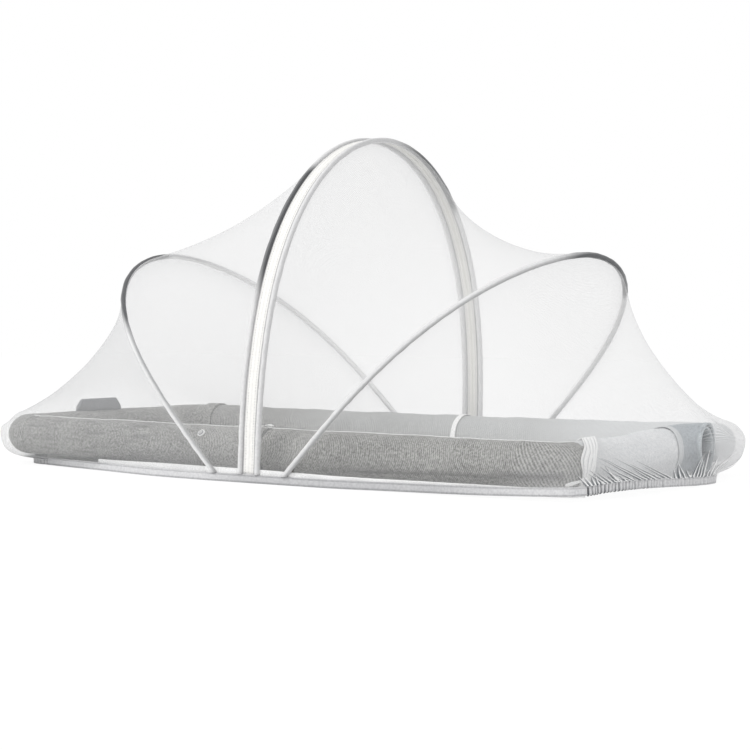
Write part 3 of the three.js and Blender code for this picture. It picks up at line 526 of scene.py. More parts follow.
def head_rail(step):
    plump = lambda *_: STUFFING["near"][0][1:]
    near_turn = (HEAD_TURN[0], -HEAD_TURN[1])
    first = turn_round(HEAD_TURN, HEAD_CORNER, 2 * QUARTER, 3 * QUARTER, step, plump)
    last = turn_round(near_turn, HEAD_CORNER, 3 * QUARTER, 4 * QUARTER, step, plump)
    ys = np.linspace(HEAD_TURN[1], -HEAD_TURN[1], round(2 * HEAD_TURN[1] / step) + 1)[1:-1]
    return np.array(first + [station(HEAD_X, y, 3 * QUARTER, *plump()) for y in ys] + last)


ROLL_TURN, ROLL_TURN_ANGLE, ROLL_STRAIGHT_END = 47.0, math.radians(81), 92.0


def foot_roll(step):
    start = FOOT_TURN[1] + SEAM
    ys = np.linspace(start, ROLL_STRAIGHT_END, round((ROLL_STRAIGHT_END - start) / step) + 1)
    run = [station(FOOT_X, y, QUARTER, *stuffing_at("foot", y)) for y in ys]
    turned = turn_round((FOOT_X + ROLL_TURN, ROLL_STRAIGHT_END), ROLL_TURN, QUARTER,
                        QUARTER - ROLL_TURN_ANGLE, step, lambda y, share: stuffing_at("foot", y))
    return np.array(run + turned[1:])


print("near rail:", len(near_rail(8)), "stations; the foot roll ends at", foot_roll(8)[-1][:3].round(1))


# %% From a rail's line to its cover
def round_rows(stations, angles, swell=0.0):
    """Points round each station: swell is added to the radius, and may be a number or a grid."""
    sideways = np.stack([stations[:, 3], stations[:, 4], 0 * stations[:, 4]], axis=1)[:, None]
    reach = stations[:, 5][:, None] + swell + 0 * angles
    return rings(stations[:, :3], angles, sideways, reach, UP, reach)


def around_from_below(sides):
    """Angles round a rail that start and end under it, where the cover's seam lies."""
    return full_turn(sides) - QUARTER


def hanging(angles):
    """1 along the bottom of a rail, 0 above its lower third."""
    return smooth_step(-0.45, -0.95, np.sin(angles))


def cover_swell(stations, angles, seed):
    """Soft lumps of filling, and puckers of the cover that fade away from its ends."""
    along = run_of(stations)[:, None]
    around = angles[None, :] * 34
    ends = np.exp(-along / 22) + np.exp(-(along[-1] - along) / 22)
    swell = 0.5 * ripples(along, around * 0.6, 90, seed) + 0.25 * ripples(along, around, 30, seed + 1)
    return swell + 0.8 * ends * ripples(along * 0.3, around, 12, seed + 2) - 0.3


def near_creases(stations, angles):
    """A long crease low on the near rail, deeper towards the corner: a dent in the cover that is also darkened
    with painted shade. At the head end, faint painted shade in long thin lines stands for shallow creases.
    Each runs out between two places in x."""
    x = stations[:, :1]
    crease = 0.6 * bell(angles, -0.52 + 0.05 * np.sin(x / 47), 0.08)
    crease = crease * smooth_step(150, 230, x) * smooth_step(500, 420, x)
    hollow = 0.9 * bell(angles, -0.36, 0.15) * smooth_step(415, 480, x)
    streak_shade = 0.5 * np.clip(ripples(x * 0.14, angles * 34, 11, 5) - 0.1, 0, 1) * smooth_step(-60, -200, x)
    return crease + hollow * (stations[:, 4:5] < -0.6), streak_shade


PINCH_WIDTH, PINCH_DEPTH, CREASE_DEPTH = 3.2, 2.2, 2.0


def rail_cover(name, solid, stations, finish, slot, seed, pinch=None, sag=0.0, shade=0.0, slant=None,
               sides=48):
    """The cover of one rail. A strap at the pinch, given as a place in x, draws it in beside itself; there and
    in the near rail's creases the cover is darkened with painted shade. sag is how far the cover hangs down
    under its filling."""
    angles = around_from_below(sides)
    swell = cover_swell(stations, angles, seed) + sag * hanging(angles)
    if pinch is not None:
        beside = bell(stations[:, :1], pinch, PINCH_WIDTH) * smooth_step(-0.6, 0.3, np.cos(angles))
        crease, streak_shade = near_creases(stations, angles)
        swell = swell - PINCH_DEPTH * beside - CREASE_DEPTH * crease
        shade = np.maximum(beside, np.clip(0.8 * crease, 0, 0.8) + streak_shade)
    rows = round_rows(stations, angles, swell)
    piece = cloth_piece(name, slant(rows, angles) if slant else rows, finish, slot, solid, fill=0.75,
                        shade=shade)
    print(name, "has", len(piece.data.polygons), "faces")


# %% Near, head and far rails
NEAR_STATIONS, NEAR_SEED = near_rail(2), 3
rail_cover("rail_near_cover", "rail_near", NEAR_STATIONS, MELANGE_KNIT, "melange", NEAR_SEED, pinch=31.0,
           sides=96)
rail_cover("rail_head_cover", "rail_head", head_rail(5), MELANGE_KNIT, "melange", seed=7)
stations = far_rail(6)
fading = sum(part * smooth_step(start, stop, stations[:, :1]) for part, start, stop in
             ((0.35, -420, -100), (0.2, -100, 200), (0.4, 200, 360)))
rail_cover("rail_far_cover", "rail_far", stations, FAR_KNIT, "melange", seed=11, shade=fading)

# %% [markdown]
# ## The foot roll
# The cover at the foot end is paler and is rolled up: up to the white band it is thin pale cloth, and past it
# a darker knit turns outwards and ends in a curl, like a rolled towel. The curl is a second piece, a spiral
# sheet inside the open end, because a capped tube would look solid.

# %% The pale part and the dark part, split under the band
ROLL_SPLIT = 66.0


def slanted(rows, angles):
    """Near the split the cover is pulled over: its top lies further along the roll than its side."""
    moved = 20 * smooth_step(0, QUARTER, angles) * smooth_step(4.1, 2.6, angles)
    rows[..., 1] += moved * bell(rows[..., 1], ROLL_SPLIT, 22)
    return rows


def roll_sag(stations):
    """The roll rises towards its open end, and its cloth hangs down under it, almost to the floor."""
    y, lowest = stations[:, 1:2], stations[:, 2:3] - stations[:, 5:6]
    return (lowest - 2) * smooth_step(-20, 40, y) * (1 - 0.6 * smooth_step(115, 138, y))


stations = foot_roll(3)
pale, dark = stations[stations[:, 1] <= ROLL_SPLIT], stations[stations[:, 1] >= ROLL_SPLIT - 3]
# The pale cover gets painted shade towards the near corner and its strap.
rail_cover("roll_foot_cover", "roll_foot", pale, PALE_KNIT, "pale_cover", seed=19, sag=roll_sag(pale),
           shade=0.2 * smooth_step(-80, -190, pale[:, 1:2]), slant=slanted)
angles = around_from_below(48)
rows = round_rows(dark, angles, cover_swell(dark, angles, 23) + roll_sag(dark) * hanging(angles))
END = stations[-1]
SIDEWAYS = np.array([END[3], END[4], 0.0])
OUT = np.array([-END[4], END[3], 0.0])  # the way the open end faces
TURN_CENTRE = np.array([FOOT_X + ROLL_TURN, ROLL_STRAIGHT_END, END[2]])
TOWARDS = unit(TURN_CENTRE - END[:3])


def into_roll(depth):
    """The way from the open end to a depth inside it, following the roll's turn."""
    depth = np.asarray(depth, float)[..., None]
    return depth * OUT + np.minimum(depth, 0) ** 2 / (2 * ROLL_TURN) * TOWARDS


# place past the open end, share of the radius, and shade
LIP = ((0.8, 0.97, 0), (0.6, 0.94, 0.2), (-2, 0.91, 0.7), (-8, 0.9, 0.9), (-16, 0.88, 1.0), (-28, 0.84, 1.0))
lip = [round_rows(END[None] + np.array([*into_roll(out), 0, 0, 0]), angles,
                  END[5] * (share - 1) + 3 * hanging(angles)[None]) for out, share, _ in LIP]
shade = np.concatenate([np.zeros(len(dark)), [deep for *_, deep in LIP]])[:, None]
cloth_piece("roll_foot_end", np.concatenate([slanted(rows, angles)] + lip), BLUE_GREY_KNIT, "melange",
            "roll_foot", fill=0.7, shade=shade)
print("the open end faces", OUT.round(2))

# %% The curl inside the open end
# It starts as the roll's pale rim, goes once round, then leaves the rim and hangs inwards as a flap.
TURNS, CURL_START, CURL_DEPTH, CURL_THICKNESS = 1.45, math.radians(60), 24.0, 3.2
share = np.linspace(0, 1, 130)
leaving = smooth_step(0.62, 1.0, share)
turned = CURL_START + 2 * math.pi * TURNS * share
reach = END[5] * (0.97 - 0.04 * share - 0.62 * leaving)
spiral = END[:3] + (reach * np.cos(turned))[:, None] * SIDEWAYS + (reach * np.sin(turned))[:, None] * UP
spiral[:, 2] -= 3 * hanging(turned)
depths = np.linspace(2.4, -CURL_DEPTH, 9)
uneven = 0.8 * np.sin(share * 15) + 3 * leaving
narrowed = 0.1 * smooth_step(-3, -14, depths)[None, :, None]
curl = spiral[:, None] - narrowed * (spiral - END[:3])[:, None] + into_roll(depths[None, :] + uneven[:, None])
# Painted shade: the curl darkens as it goes deeper into the open end.
inside = np.array([[0, 0, 0.35, 0.7, 0.9, 1, 1, 1, 1]])
curl_piece = cloth_piece("roll_curl", two_sided(curl, CURL_THICKNESS), CURL_KNIT, "melange",
                         shade=there_and_back(inside, inside))

# %% [markdown]
# ## Mattress and mat
# Between the rails lie a thin mattress and the mat under it, in cotton sheeting. Only their tops show, from
# above and through the net. The mattress is crowned, with a rounded edge and a few soft hollows.


# %% Rounded outlines, one above another
def rounded_outline(half_x, half_y, corner, height, steps=14, along=24):
    points = []
    for start, (sx, sy) in enumerate(((1, 1), (-1, 1), (-1, -1), (1, -1))):
        for n in range(steps + 1):
            angle = (start + n / steps) * QUARTER
            points.append((MAT_MIDDLE + sx * (half_x - corner) + corner * math.cos(angle),
                           sy * (half_y - corner) + corner * math.sin(angle), height))
    points = np.array(points + points[:1], float)
    return points_at(points, np.linspace(0, 1, 4 * (steps + along) + 1))[:-1]


# for each outline: how far it lies in from the edge, and its height
MAT_LEVELS = ((5, 0), (1.5, 0.6), (0, 2.5), (0.4, 6), (0, 9.5), (1.2, 11.4), (5, 12), (60, 12), (150, 12))
MATTRESS_LEVELS = ((8, 12.3), (2.5, 13), (0.4, 15), (0, 19), (0.4, 23), (2, 26), (6, 28.2), (14, 29.6),
                   (28, 30.4), (50, 31), (80, 31.5), (115, 31.8), (150, 32), (178, 32), (190, 32))
FIRST_HOLLOW_ROW = 7
rows = np.array([rounded_outline(484 - inset, 212.1 - inset, 50, z) for inset, z in MAT_LEVELS])
cloth_piece("bed_mat_cover", rows, COTTON_SHEETING, "cotton", "bed_mat", fill=0.9)
rows = np.array([rounded_outline(472 - inset, 194 - inset, min(45 - inset * 0.1, 193 - inset), z)
                 for inset, z in MATTRESS_LEVELS])
rows[FIRST_HOLLOW_ROW:, :, 2] += 0.7 * ripples(rows[..., 0], rows[..., 1], 110, 31)[FIRST_HOLLOW_ROW:] - 0.7
cloth_piece("mattress_cover", rows, COTTON_SHEETING, "cotton", "mattress", fill=0.8)
print("mattress top at", rows[..., 2].max().round(1), "mm")

# %% [markdown]
# ## Bands on the rails
# Cotton webbing goes round the rails. At the near foot corner a wide band lies in lengthwise pleats and is
# tied; narrow straps go round the two side rails, and one holds the foot roll. Each is a grid wrapped round
# the rail's own stations, with a real thickness.


# %% A band round part of a rail
STRAP_WIDTH, WEBBING_THICKNESS, STRAP_LIFT = 9.0, 1.2, 1.2


def wrap(stations, start, end, lift, steps, pleats=0.0, pleat_width=5.0):
    """Rows go round the rail, columns across the band. Angles are in degrees, from the stations' side."""
    angles = np.radians(np.linspace(start, end, steps))
    across = run_of(stations)[:, None]
    folds = pleats * np.cos(2 * math.pi * across / pleat_width + 0.5 * np.sin(angles[None, :] * 2))
    return np.swapaxes(round_rows(stations, angles, lift + folds), 0, 1)


def band(name, grid, thickness, finish, slot, solid):
    made = cloth_piece(name, two_sided(grid, thickness), finish, slot, solid)


for name, side, x, rail, start, stop in (("strap_near", -1, 12, "near", -100, 185),
                                         ("strap_far", 1, 67, "far", -5, 280)):
    run = np.array(straight(side, x - STRAP_WIDTH / 2, x + STRAP_WIDTH / 2, 1.5, rail))
    band(name + "_webbing", wrap(run, start, stop, STRAP_LIFT, steps=90), WEBBING_THICKNESS, COTTON_WEBBING,
         "cotton", name)
run = np.array([station(FOOT_X, y, QUARTER, *stuffing_at("foot", y)) for y in np.linspace(59, 74, 16)])
ROLL_BAND_ANGLES, ROLL_BAND_STEPS = (-100, 190), 90
wrapped = wrap(run, *ROLL_BAND_ANGLES, STRAP_LIFT, ROLL_BAND_STEPS, pleats=0.25, pleat_width=6.0)
wrapped = slanted(wrapped, np.radians(np.linspace(*ROLL_BAND_ANGLES, ROLL_BAND_STEPS))[:, None])
band("roll_band_webbing", wrapped, WEBBING_THICKNESS, ROLL_BAND, "cotton", "roll_band")
# The near strap's loose tip sticks out beside the arch.
run = np.array(straight(-1, 20, 33, 1.4, "near"))
tip = wrap(run, 82, 92, lift=2.0, steps=8)
tip[..., 2] += 1.6 * np.sin(np.linspace(0, math.pi, len(run)))[None, :]
cloth_piece("strap_near_tip", two_sided(tip, WEBBING_THICKNESS), COTTON_WEBBING, "cotton")

# %% The pleated corner strap: over the roll, slanting down on to the corner, drawn together below
# angle round the rail, and where the two edges lie: up to 1 in shares of the corner, then on along the roll
CORNER_STRAP = [(-100, 0.8, 0.92), (-40, 0.82, 0.93), (-10, 0.8, 0.99), (20, 0.79, 1.12), (50, 0.95, 1.42),
                (80, 1.25, 1.75), (110, 1.6, 2.1), (185, 1.85, 2.35)]
STRAP_PLEATS, PLEATED_THICKNESS = 4, 1.4


def corner_station(share):
    if share <= 1:
        heading = QUARTER * share
        return station(FOOT_TURN[0] + FOOT_CORNER * math.sin(heading),
                       FOOT_TURN[1] - FOOT_CORNER * math.cos(heading), heading, *corner_stuffing(share))
    y = FOOT_TURN[1] + (share - 1) * FOOT_CORNER * QUARTER
    return station(FOOT_X, y, QUARTER, *stuffing_at("foot", y))


across = np.linspace(0, 1, 48)
ridges = np.cos(across * 2 * math.pi * STRAP_PLEATS)
rows = []
for angle, near_edge, far_edge in smooth_rows(np.array(CORNER_STRAP, float), 130):
    stations = [corner_station(near_edge + (far_edge - near_edge) * place) for place in across]
    bunched = 1.6 - 0.6 * smooth_step(0.1, 0.3, far_edge - near_edge)
    swell = (2.1 + 0.7 * ridges * bunched)[:, None]
    rows.append(round_rows(np.array(stations), np.radians([angle]), swell)[:, 0])
grid = np.array(rows)
# Painted shade in the valleys between the pleats.
shade = np.broadcast_to(0.9 * np.clip(-ridges, 0, 1) ** 3, grid.shape[:2])
strap = cloth_piece("strap_corner_webbing", two_sided(grid, PLEATED_THICKNESS), COTTON_WEBBING, "cotton",
                    "strap_corner", shade=there_and_back(shade, shade))

# %% Its tie
# turn round the corner in degrees, distance out, height, half height and half thickness
TIE = [(54, 3.6, 17.5, 1, 0.6), (56, 3.6, 18.5, 2.2, 1), (62, 3.4, 20.5, 2.6, 1.2), (68, 3.2, 22.5, 1.8, 1.4),
       (73, 4, 24, 3.6, 3), (77, 4, 24, 3.6, 3), (80, 3.2, 22, 2, 1.4), (84, 3, 18, 2.2, 1),
       (87, 3, 15, 1.6, 0.8)]
middle, radius = corner_stuffing(0.75)
line, halves = [], []
for turn, out, z, half, thick in TIE:
    reach = FOOT_CORNER + math.sqrt((radius + 2.6) ** 2 - (middle - z) ** 2) + out
    angle = math.radians(turn)
    line.append((FOOT_TURN[0] + reach * math.sin(angle), FOOT_TURN[1] - reach * math.cos(angle), z))
    halves.append((half, thick))
TIE_ROWS = 73
line, halves = smooth_rows(np.array(line), TIE_ROWS), smooth_rows(np.array(halves), TIE_ROWS)
way = tangents(line)
outwards = unit(np.cross(UP, way))
angles = full_turn(24, 0)
creases = 1 + 0.06 * np.cos(3 * angles)[None, :] + 0.03 * np.sin(np.arange(TIE_ROWS) / 4)[:, None]
rows = rings(line, angles, outwards[:, None], halves[:, 1:] * creases, np.cross(way, outwards)[:, None],
             halves[:, :1] * creases)
cloth_piece("strap_tie_cloth", rows, COTTON_WEBBING, "cotton", "strap_tie", fill=0.3)

# %% [markdown]
# ## Tab, flap and button
# A dark padded tab stands on the head rail, the loose end of the head rail's cover is folded over the start
# of the far rail, and a press button sits on the near rail.

# %% The dark tab
TAB_MIDDLE, TAB_HALF, TAB_HEIGHT, TAB_THICKNESS, TAB_SLOPE = -34.0, 53.0, 19.0, 9.0, 10.0
TAB_SUNK = 1.5  # how deep it sits in the rail's cover
TAB_FOOT = STUFFING["near"][0][1] + STUFFING["near"][0][2] + 0.5 + SEAM
angles = full_turn(28)
squared = lambda values, power: np.sign(values) * np.abs(values) ** power
rows = []
for s in np.linspace(-1, 1, 64):
    from_end = (1 - abs(s)) * TAB_HALF
    top = TAB_HEIGHT * min(1.0, (from_end + 1.5) / (TAB_SLOPE + 4)) ** 0.8
    thick = TAB_THICKNESS / 2 * min(1.0, (from_end + 1) / 5) ** 0.5 + 0.25 * math.sin(s * 19)
    x = HEAD_X + thick * squared(np.cos(angles), 0.6)
    z = TAB_FOOT - TAB_SUNK + top / 2 + (top / 2 + TAB_SUNK) * squared(np.sin(angles), 0.5)
    rows.append(np.stack([x, 0 * angles + TAB_MIDDLE + s * TAB_HALF, z], axis=1))
cloth_piece("head_tab_pad", np.array(rows), DARK_FELT, "tab_cloth", "head_tab", fill=0.7)

# %% The folded end of the head rail's cover
FLAP_LENGTH, FLAP_THICKNESS = 27.5, 1.4
run = head_rail(1)
run = run[run_of(run) <= FLAP_LENGTH]
flap = wrap(run, 66, 192, lift=1.4, steps=60, pleats=0.2, pleat_width=9.0)
band("rail_flap_cloth", flap, FLAP_THICKNESS, MELANGE_KNIT, "melange", "rail_flap")

# %% The press button
BUTTON_X, BUTTON_ANGLE = -85.0, math.radians(42)
# distance from the button's middle, height, and the shade in its groove
BUTTON = np.array([(0.05, 0, 0), (5.9, 0, 0), (6.2, 0.3, 0), (6.2, 0.9, 0), (6.0, 1.5, 0), (5.4, 1.8, 0),
                   (4.5, 1.8, 0.1), (4.1, 1.5, 0.8), (3.8, 1.2, 1), (3.6, 1.4, 1), (3.2, 2.2, 0.9),
                   (2.6, 2.7, 0.5), (1.6, 3.05, 0.3), (0.7, 3.18, 0.6), (0.05, 3.2, 0.6)])
reach, rise, groove = BUTTON[:, :1], BUTTON[:, 1:2], BUTTON[:, 2:]
middle, radius = stuffing_at("near", BUTTON_X)
facing = np.array([0, -math.cos(BUTTON_ANGLE), math.sin(BUTTON_ANGLE)])
seat = np.array([BUTTON_X, -RAIL_Y, middle]) + facing * (radius + SEAM)
rows = rings(seat + rise * facing, full_turn(48, 0), np.array([1.0, 0, 0]), reach,
             np.cross(facing, [1.0, 0, 0]), reach)
cloth_piece("rail_button_cap", rows, ACETAL, "button", "rail_button", shade=groove)
print("button at", seat.round(1))

# %% [markdown]
# ## Rods and sleeves
# Each rod is bent in one plane, which leans outwards. Its outline is a superellipse: steep near the feet and
# nearly round on top. The sleeve is piping: cloth round the rod. On the real sleeve the netting is sewn to a
# flat seam allowance, which isn't made here; the netting's edge runs into the sleeve.

# %% The rods' lines
ARCH_X, HEM_HALF_WIDTH = 38.0, 294.0
TAPE_HEIGHT, SLEEVE_RADIUS, ZIP_HALF_WIDTH = 12.0, 4.4, 11.0
HOOPS = {  # near and far foot, length, tilt, spread and rise
    "head": (ARCH_X - 54, ARCH_X - 88, 470, -43.5, 1.83, 3.2),
    "arch": (ARCH_X, ARCH_X, 515, 2.3, 1.97, 2.77),
    "foot": (ARCH_X + 54, ARCH_X + 88, 471, 45.5, 1.83, 3.2),
}
HOOP_FOOT = TAPE_HEIGHT + SEAM
PIPING_SHIFT = ZIP_HALF_WIDTH + 0.4 + SLEEVE_RADIUS


def hoop_line(hoop, shift=0.0):
    near_x, far_x, length, tilt, spread, rise = HOOPS[hoop]
    near, far = np.array([near_x, -HEM_HALF_WIDTH, 0]), np.array([far_x, HEM_HALF_WIDTH, 0])
    half = (far - near) / 2
    level = np.cross(unit(half), UP)
    rising = UP * math.cos(math.radians(tilt)) + level * math.sin(math.radians(tilt))
    normal = unit(np.cross(unit(half), rising))
    angle = np.linspace(0, math.pi, 901)[:, None]
    across = -np.sign(np.cos(angle)) * np.abs(np.cos(angle)) ** (2 / spread)
    height = length * np.abs(np.sin(angle)) ** (2 / rise)
    return (near + far) / 2 + half * across + rising * height + normal * shift, normal


def hoop_stations(hoop, shift=0.0, steps=34):
    points, _ = hoop_line(hoop, shift)
    t = np.linspace(0, 1, steps + 1)
    return points_at(points[points[:, 2] >= HOOP_FOOT], t - 0.06 * np.sin(2 * math.pi * t))


print("top of the arch:", hoop_stations("arch")[:, 2].max().round(1), "mm")


# %% Sleeves
# how much painted shade darkens the side towards the seam in the near half
SEAM_SHADE = {"head": 0.42, "arch": 0.2, "foot": 0.42}
SLEEVE_STEP = 5.0  # about the distance from row to row


def sleeve(name, hoop, shift, seed, shaded_from, shaded_to):
    """Between the two shares of the rod's length the sleeve is darkened with painted shade."""
    line = hoop_stations(hoop, shift, 260)
    _, normal = hoop_line(hoop)
    way = tangents(line)
    angles = full_turn(16)
    along = np.arange(len(line))[:, None] * SLEEVE_STEP
    radius = SLEEVE_RADIUS - 0.35 + 0.3 * ripples(along, 12 * angles[None, :], 26, seed)
    rows = rings(line, angles, normal, radius, unit(np.cross(way, normal))[:, None], radius)
    for k in (0, -1):
        rows[k] += (HOOP_FOOT - rows[k][:, 2:]) / way[k][2] * way[k]
    share = np.linspace(0, 1, len(line))[:, None]
    # Painted shade: a dark stretch, and a little over the near half, most on the side towards the seam.
    dark = smooth_step(shaded_from - 0.06, shaded_from, share) - smooth_step(shaded_to, shaded_to + 0.02, share)
    by_seam = SEAM_SHADE[hoop] * smooth_step(0.1, 0.95, np.cos(angles))[None, :]
    shade = 0.02 + (0.1 + by_seam) * smooth_step(0.62, 0.5, share) + 0.75 * dark
    cloth_piece(name, rows, SLEEVE_TAPE, "piping", name.replace("_sleeve", ""), shade=shade)


sleeve("hoop_head_sleeve", "head", 0.0, seed=41, shaded_from=0.34, shaded_to=0.48)
sleeve("arch_head_sleeve", "arch", -PIPING_SHIFT, seed=42, shaded_from=0.3, shaded_to=0.4)
sleeve("arch_foot_sleeve", "arch", PIPING_SHIFT, seed=43, shaded_from=0.56, shaded_to=0.62)
sleeve("hoop_foot_sleeve", "foot", 0.0, seed=44, shaded_from=0.51, shaded_to=0.62)

# %% [markdown]
# ## The hem
# The hem is one closed line on the floor. Flat tape is sewn along the sides, and casings with elastic inside
# go round the two ends. The line bends smoothly through its points, closer where it bends more.

# %% The hem's line
# x, y and how far its lower edge is lifted
HEM_NEAR = [(-440, -230, 0), (-300, -258, 0), (-158, -286, 0), (-40, -294, 0), (96, -294, 0), (173, -293, 0),
            (290, -285, 1), (435, -278, 3), (566, -267, 8)]
HEM_FOOT = [(579, -250, 9), (582, -215, 10), (584, -140, 9), (587, -40, 5), (589, 50, 1), (584, 105, 0),
            (560, 142, 0), (530, 180, 0), (500, 215, 0), (465, 246, 0)]
HEM_FAR = [(420, 266, 0), (290, 285, 0), (173, 293, 0), (96, 294, 0), (-80, 294, 0), (-158, 288, 0),
           (-300, 260, 0), (-440, 230, 0)]
HEM_HEAD = [(-480, 218, 0), (-510, 178, 0), (-512, 0, 0), (-510, -178, 0), (-480, -218, 0)]
HEM_ROWS = np.array(HEM_NEAR + HEM_FOOT + HEM_FAR + HEM_HEAD, float)
# the rows where the near tape, the foot casing, the far tape and the head casing start, and the end
NEAR_ROW, FOOT_ROW, FAR_ROW, HEAD_ROW, LAST_ROW = 0, 8.9, 19, 26, 32


def hem_at(row):
    """A point of the closed centripetal Catmull-Rom curve through the hem's rows."""
    k = int(math.floor(row))
    t = row - k
    a, b, c, d = (HEM_ROWS[(k + n) % len(HEM_ROWS)] for n in (-1, 0, 1, 2))
    before, here, after = (math.sqrt(np.linalg.norm(q - p)) for p, q in ((a, b), (b, c), (c, d)))
    start = ((b - a) / before - (c - a) / (before + here) + (c - b) / here) * here
    stop = ((c - b) / here - (d - b) / (here + after) + (d - c) / after) * here
    bend, twist = -3 * b + 3 * c - 2 * start - stop, 2 * b - 2 * c + start + stop
    return b + start * t + bend * t**2 + twist * t**3


def hem_line(start, stop):
    return np.array([hem_at(row) for row in np.linspace(start, stop, 2 + round((stop - start) * 40))])


print("hem:", round(float(run_of(hem_line(NEAR_ROW, LAST_ROW))[-1])), "mm round")


# %% Flat tapes and gathered casings
RUFFLE_SPACING, RUFFLE_FADING = 8.5, 150  # in mm; the ruffles are tightest at a casing's start


def ruffles(along, levels, gathers, seed):
    """For each point of a casing: how far it stands out, how far it is lifted, and its shade."""
    across = 0 * levels
    phase = 2 * math.pi * along / RUFFLE_SPACING + 2.6 * ripples(along, across, 46, seed + 1)
    tight = bell(along, 0, RUFFLE_FADING)
    depth = gathers * (0.55 + 0.45 * levels) * (1 + 0.4 * ripples(along, across, 25, seed + 2))
    lift = 1.3 * tight * (1 - levels) * np.sin(phase)
    lift = lift + (0.5 + 0.9 * tight) * levels * ripples(along, across, 22, seed + 3)
    leaning = np.sin(phase + 0.8 * levels)
    valleys = np.clip(0.3 * tight - leaning, 0, 1) ** (1.2 - 0.5 * tight)
    return depth * leaning, lift, (0.35 + 0.9 * tight) * valleys


def hem_strip(name, start, stop, thickness, step, wave, seed, held, gathers=0):
    """wave is how far the strip wanders sideways, and gathers how deep its elastic's ruffles are, in mm."""
    whole = hem_line(start, stop)
    line = points_at(whole, np.linspace(1 / 900, 1 - 1 / 900, round(float(run_of(whole)[-1]) / step)))
    along = run_of(line)[:, None]
    ends = np.clip(np.minimum(along, along[-1] - along) / 5, 0, 1)
    levels = np.linspace(0, 1, 9)[None, :]
    wobble, lift = wave * ripples(along, 60 * levels, 70, seed), 0
    shade = 0.45 * bell(levels, 0.14, 0.07) + 0.3 * bell(levels, 0.88, 0.07)
    if gathers:
        standing, lift, valleys = ruffles(along, levels, gathers, seed)
        wobble, shade = wobble + standing, shade * 0.4 + valleys
    outwards = unit(np.cross(tangents(line), UP))
    grid = line[:, None] + (wobble * ends)[..., None] * outwards[:, None]
    grid[..., 2] = np.maximum(grid[..., 2] + TAPE_HEIGHT * levels + lift, 0)
    x, near = line[:, :1], line[:, 1:2] < 0
    in_bed_shade = near * 0.22 * (smooth_step(-60, 30, x) - smooth_step(330, 520, x))
    shade = np.broadcast_to(shade + in_bed_shade, grid.shape[:2])
    made = cloth_piece(name, two_sided(grid, thickness), HEM_TAPE, "hem_tape", name.replace("_band", ""),
                       shade=there_and_back(shade, shade))
    return grid


TAPE = {"thickness": 1.4, "step": 4, "wave": 0.35, "held": "laid"}
CASING = {"thickness": 1.6, "wave": 0.3, "held": "gathered"}
HEM_GRIDS = [hem_strip("tape_near_band", NEAR_ROW, FOOT_ROW, seed=51, **TAPE),
             hem_strip("tape_far_band", FAR_ROW, HEAD_ROW, seed=52, **TAPE),
             hem_strip("elastic_foot_band", FOOT_ROW, FAR_ROW, step=1.0, gathers=2.6, seed=53, **CASING),
             hem_strip("elastic_head_band", HEAD_ROW, LAST_ROW, step=1.3, gathers=1.6, seed=54, **CASING)]

# %% The white facing inside the near tape
FACING_FOOT, FACING_THICKNESS = 6, 1.0
line = points_at(hem_line(1, 8.8), np.linspace(0, 1, 300))
inwards = -unit(np.cross(tangents(line), UP))
top = 20.5 - 3.5 * smooth_step(0, 260, line[:, 0]) - 3 * smooth_step(-120, -300, line[:, 0])
levels = np.linspace(0, 1, 7)[None, :]
grid = line[:, None] + (2.2 + 0.5 * ripples(line[:, :1], 30 * levels, 40, 57))[..., None] * inwards[:, None]
grid[..., 2] = FACING_FOOT + (top[:, None] - FACING_FOOT) * levels
facing = cloth_piece("tape_near_facing", two_sided(grid, FACING_THICKNESS), COTTON_WEBBING, "cotton")

# %% [markdown]
# ## The netting
# Each panel is held by its edges and pulls evenly between them. A cloth simulator could settle it, but a
# relaxed grid is quicker and gives the same shape each time: for a set number of turns every point moves to
# the weighted middle of its four neighbours, and a point that falls into a rail is lifted on to it. The coarse
# grid is then smoothed, and its gathers are added.

# %% What the netting lies on
NET_CLEARANCE, TAB_BESIDE, TAB_ABOVE = 6.0, 11.0, 5.0
RUNS = [np.concatenate([near_rail(40), foot_roll(24)]), far_rail(40), head_rail(40)]
FROM = np.concatenate([run[:-1] for run in RUNS])
STEP = np.concatenate([run[1:] for run in RUNS]) - FROM


def keep_clear(points):
    """Lifts points above the padded rails, and above the tab on the head rail."""
    apart = points[:, None] - FROM[None, :, :3]
    share = np.clip((apart * STEP[:, :3]).sum(axis=2) / (STEP[:, :3] ** 2).sum(axis=1), 0, 1)
    away = apart - share[..., None] * STEP[:, :3]
    reach = NET_CLEARANCE + FROM[:, 5] + share * STEP[:, 5]
    inside = (away**2).sum(axis=2) < reach**2
    above = np.sqrt(np.maximum(reach**2 - (away[..., :2] ** 2).sum(axis=2), 0))
    height = FROM[:, 2] + share * STEP[:, 2] + above
    points[:, 2] = np.maximum(points[:, 2], np.where(inside, height, 0).max(axis=1))
    by_tab = (np.abs(points[:, 1] - TAB_MIDDLE) < TAB_HALF + TAB_BESIDE) \
        & (np.abs(points[:, 0] - HEAD_X) < TAB_BESIDE + TAB_THICKNESS / 2)
    points[by_tab, 2] = np.maximum(points[by_tab, 2], TAB_FOOT + TAB_HEIGHT + TAB_ABOVE)
    return points


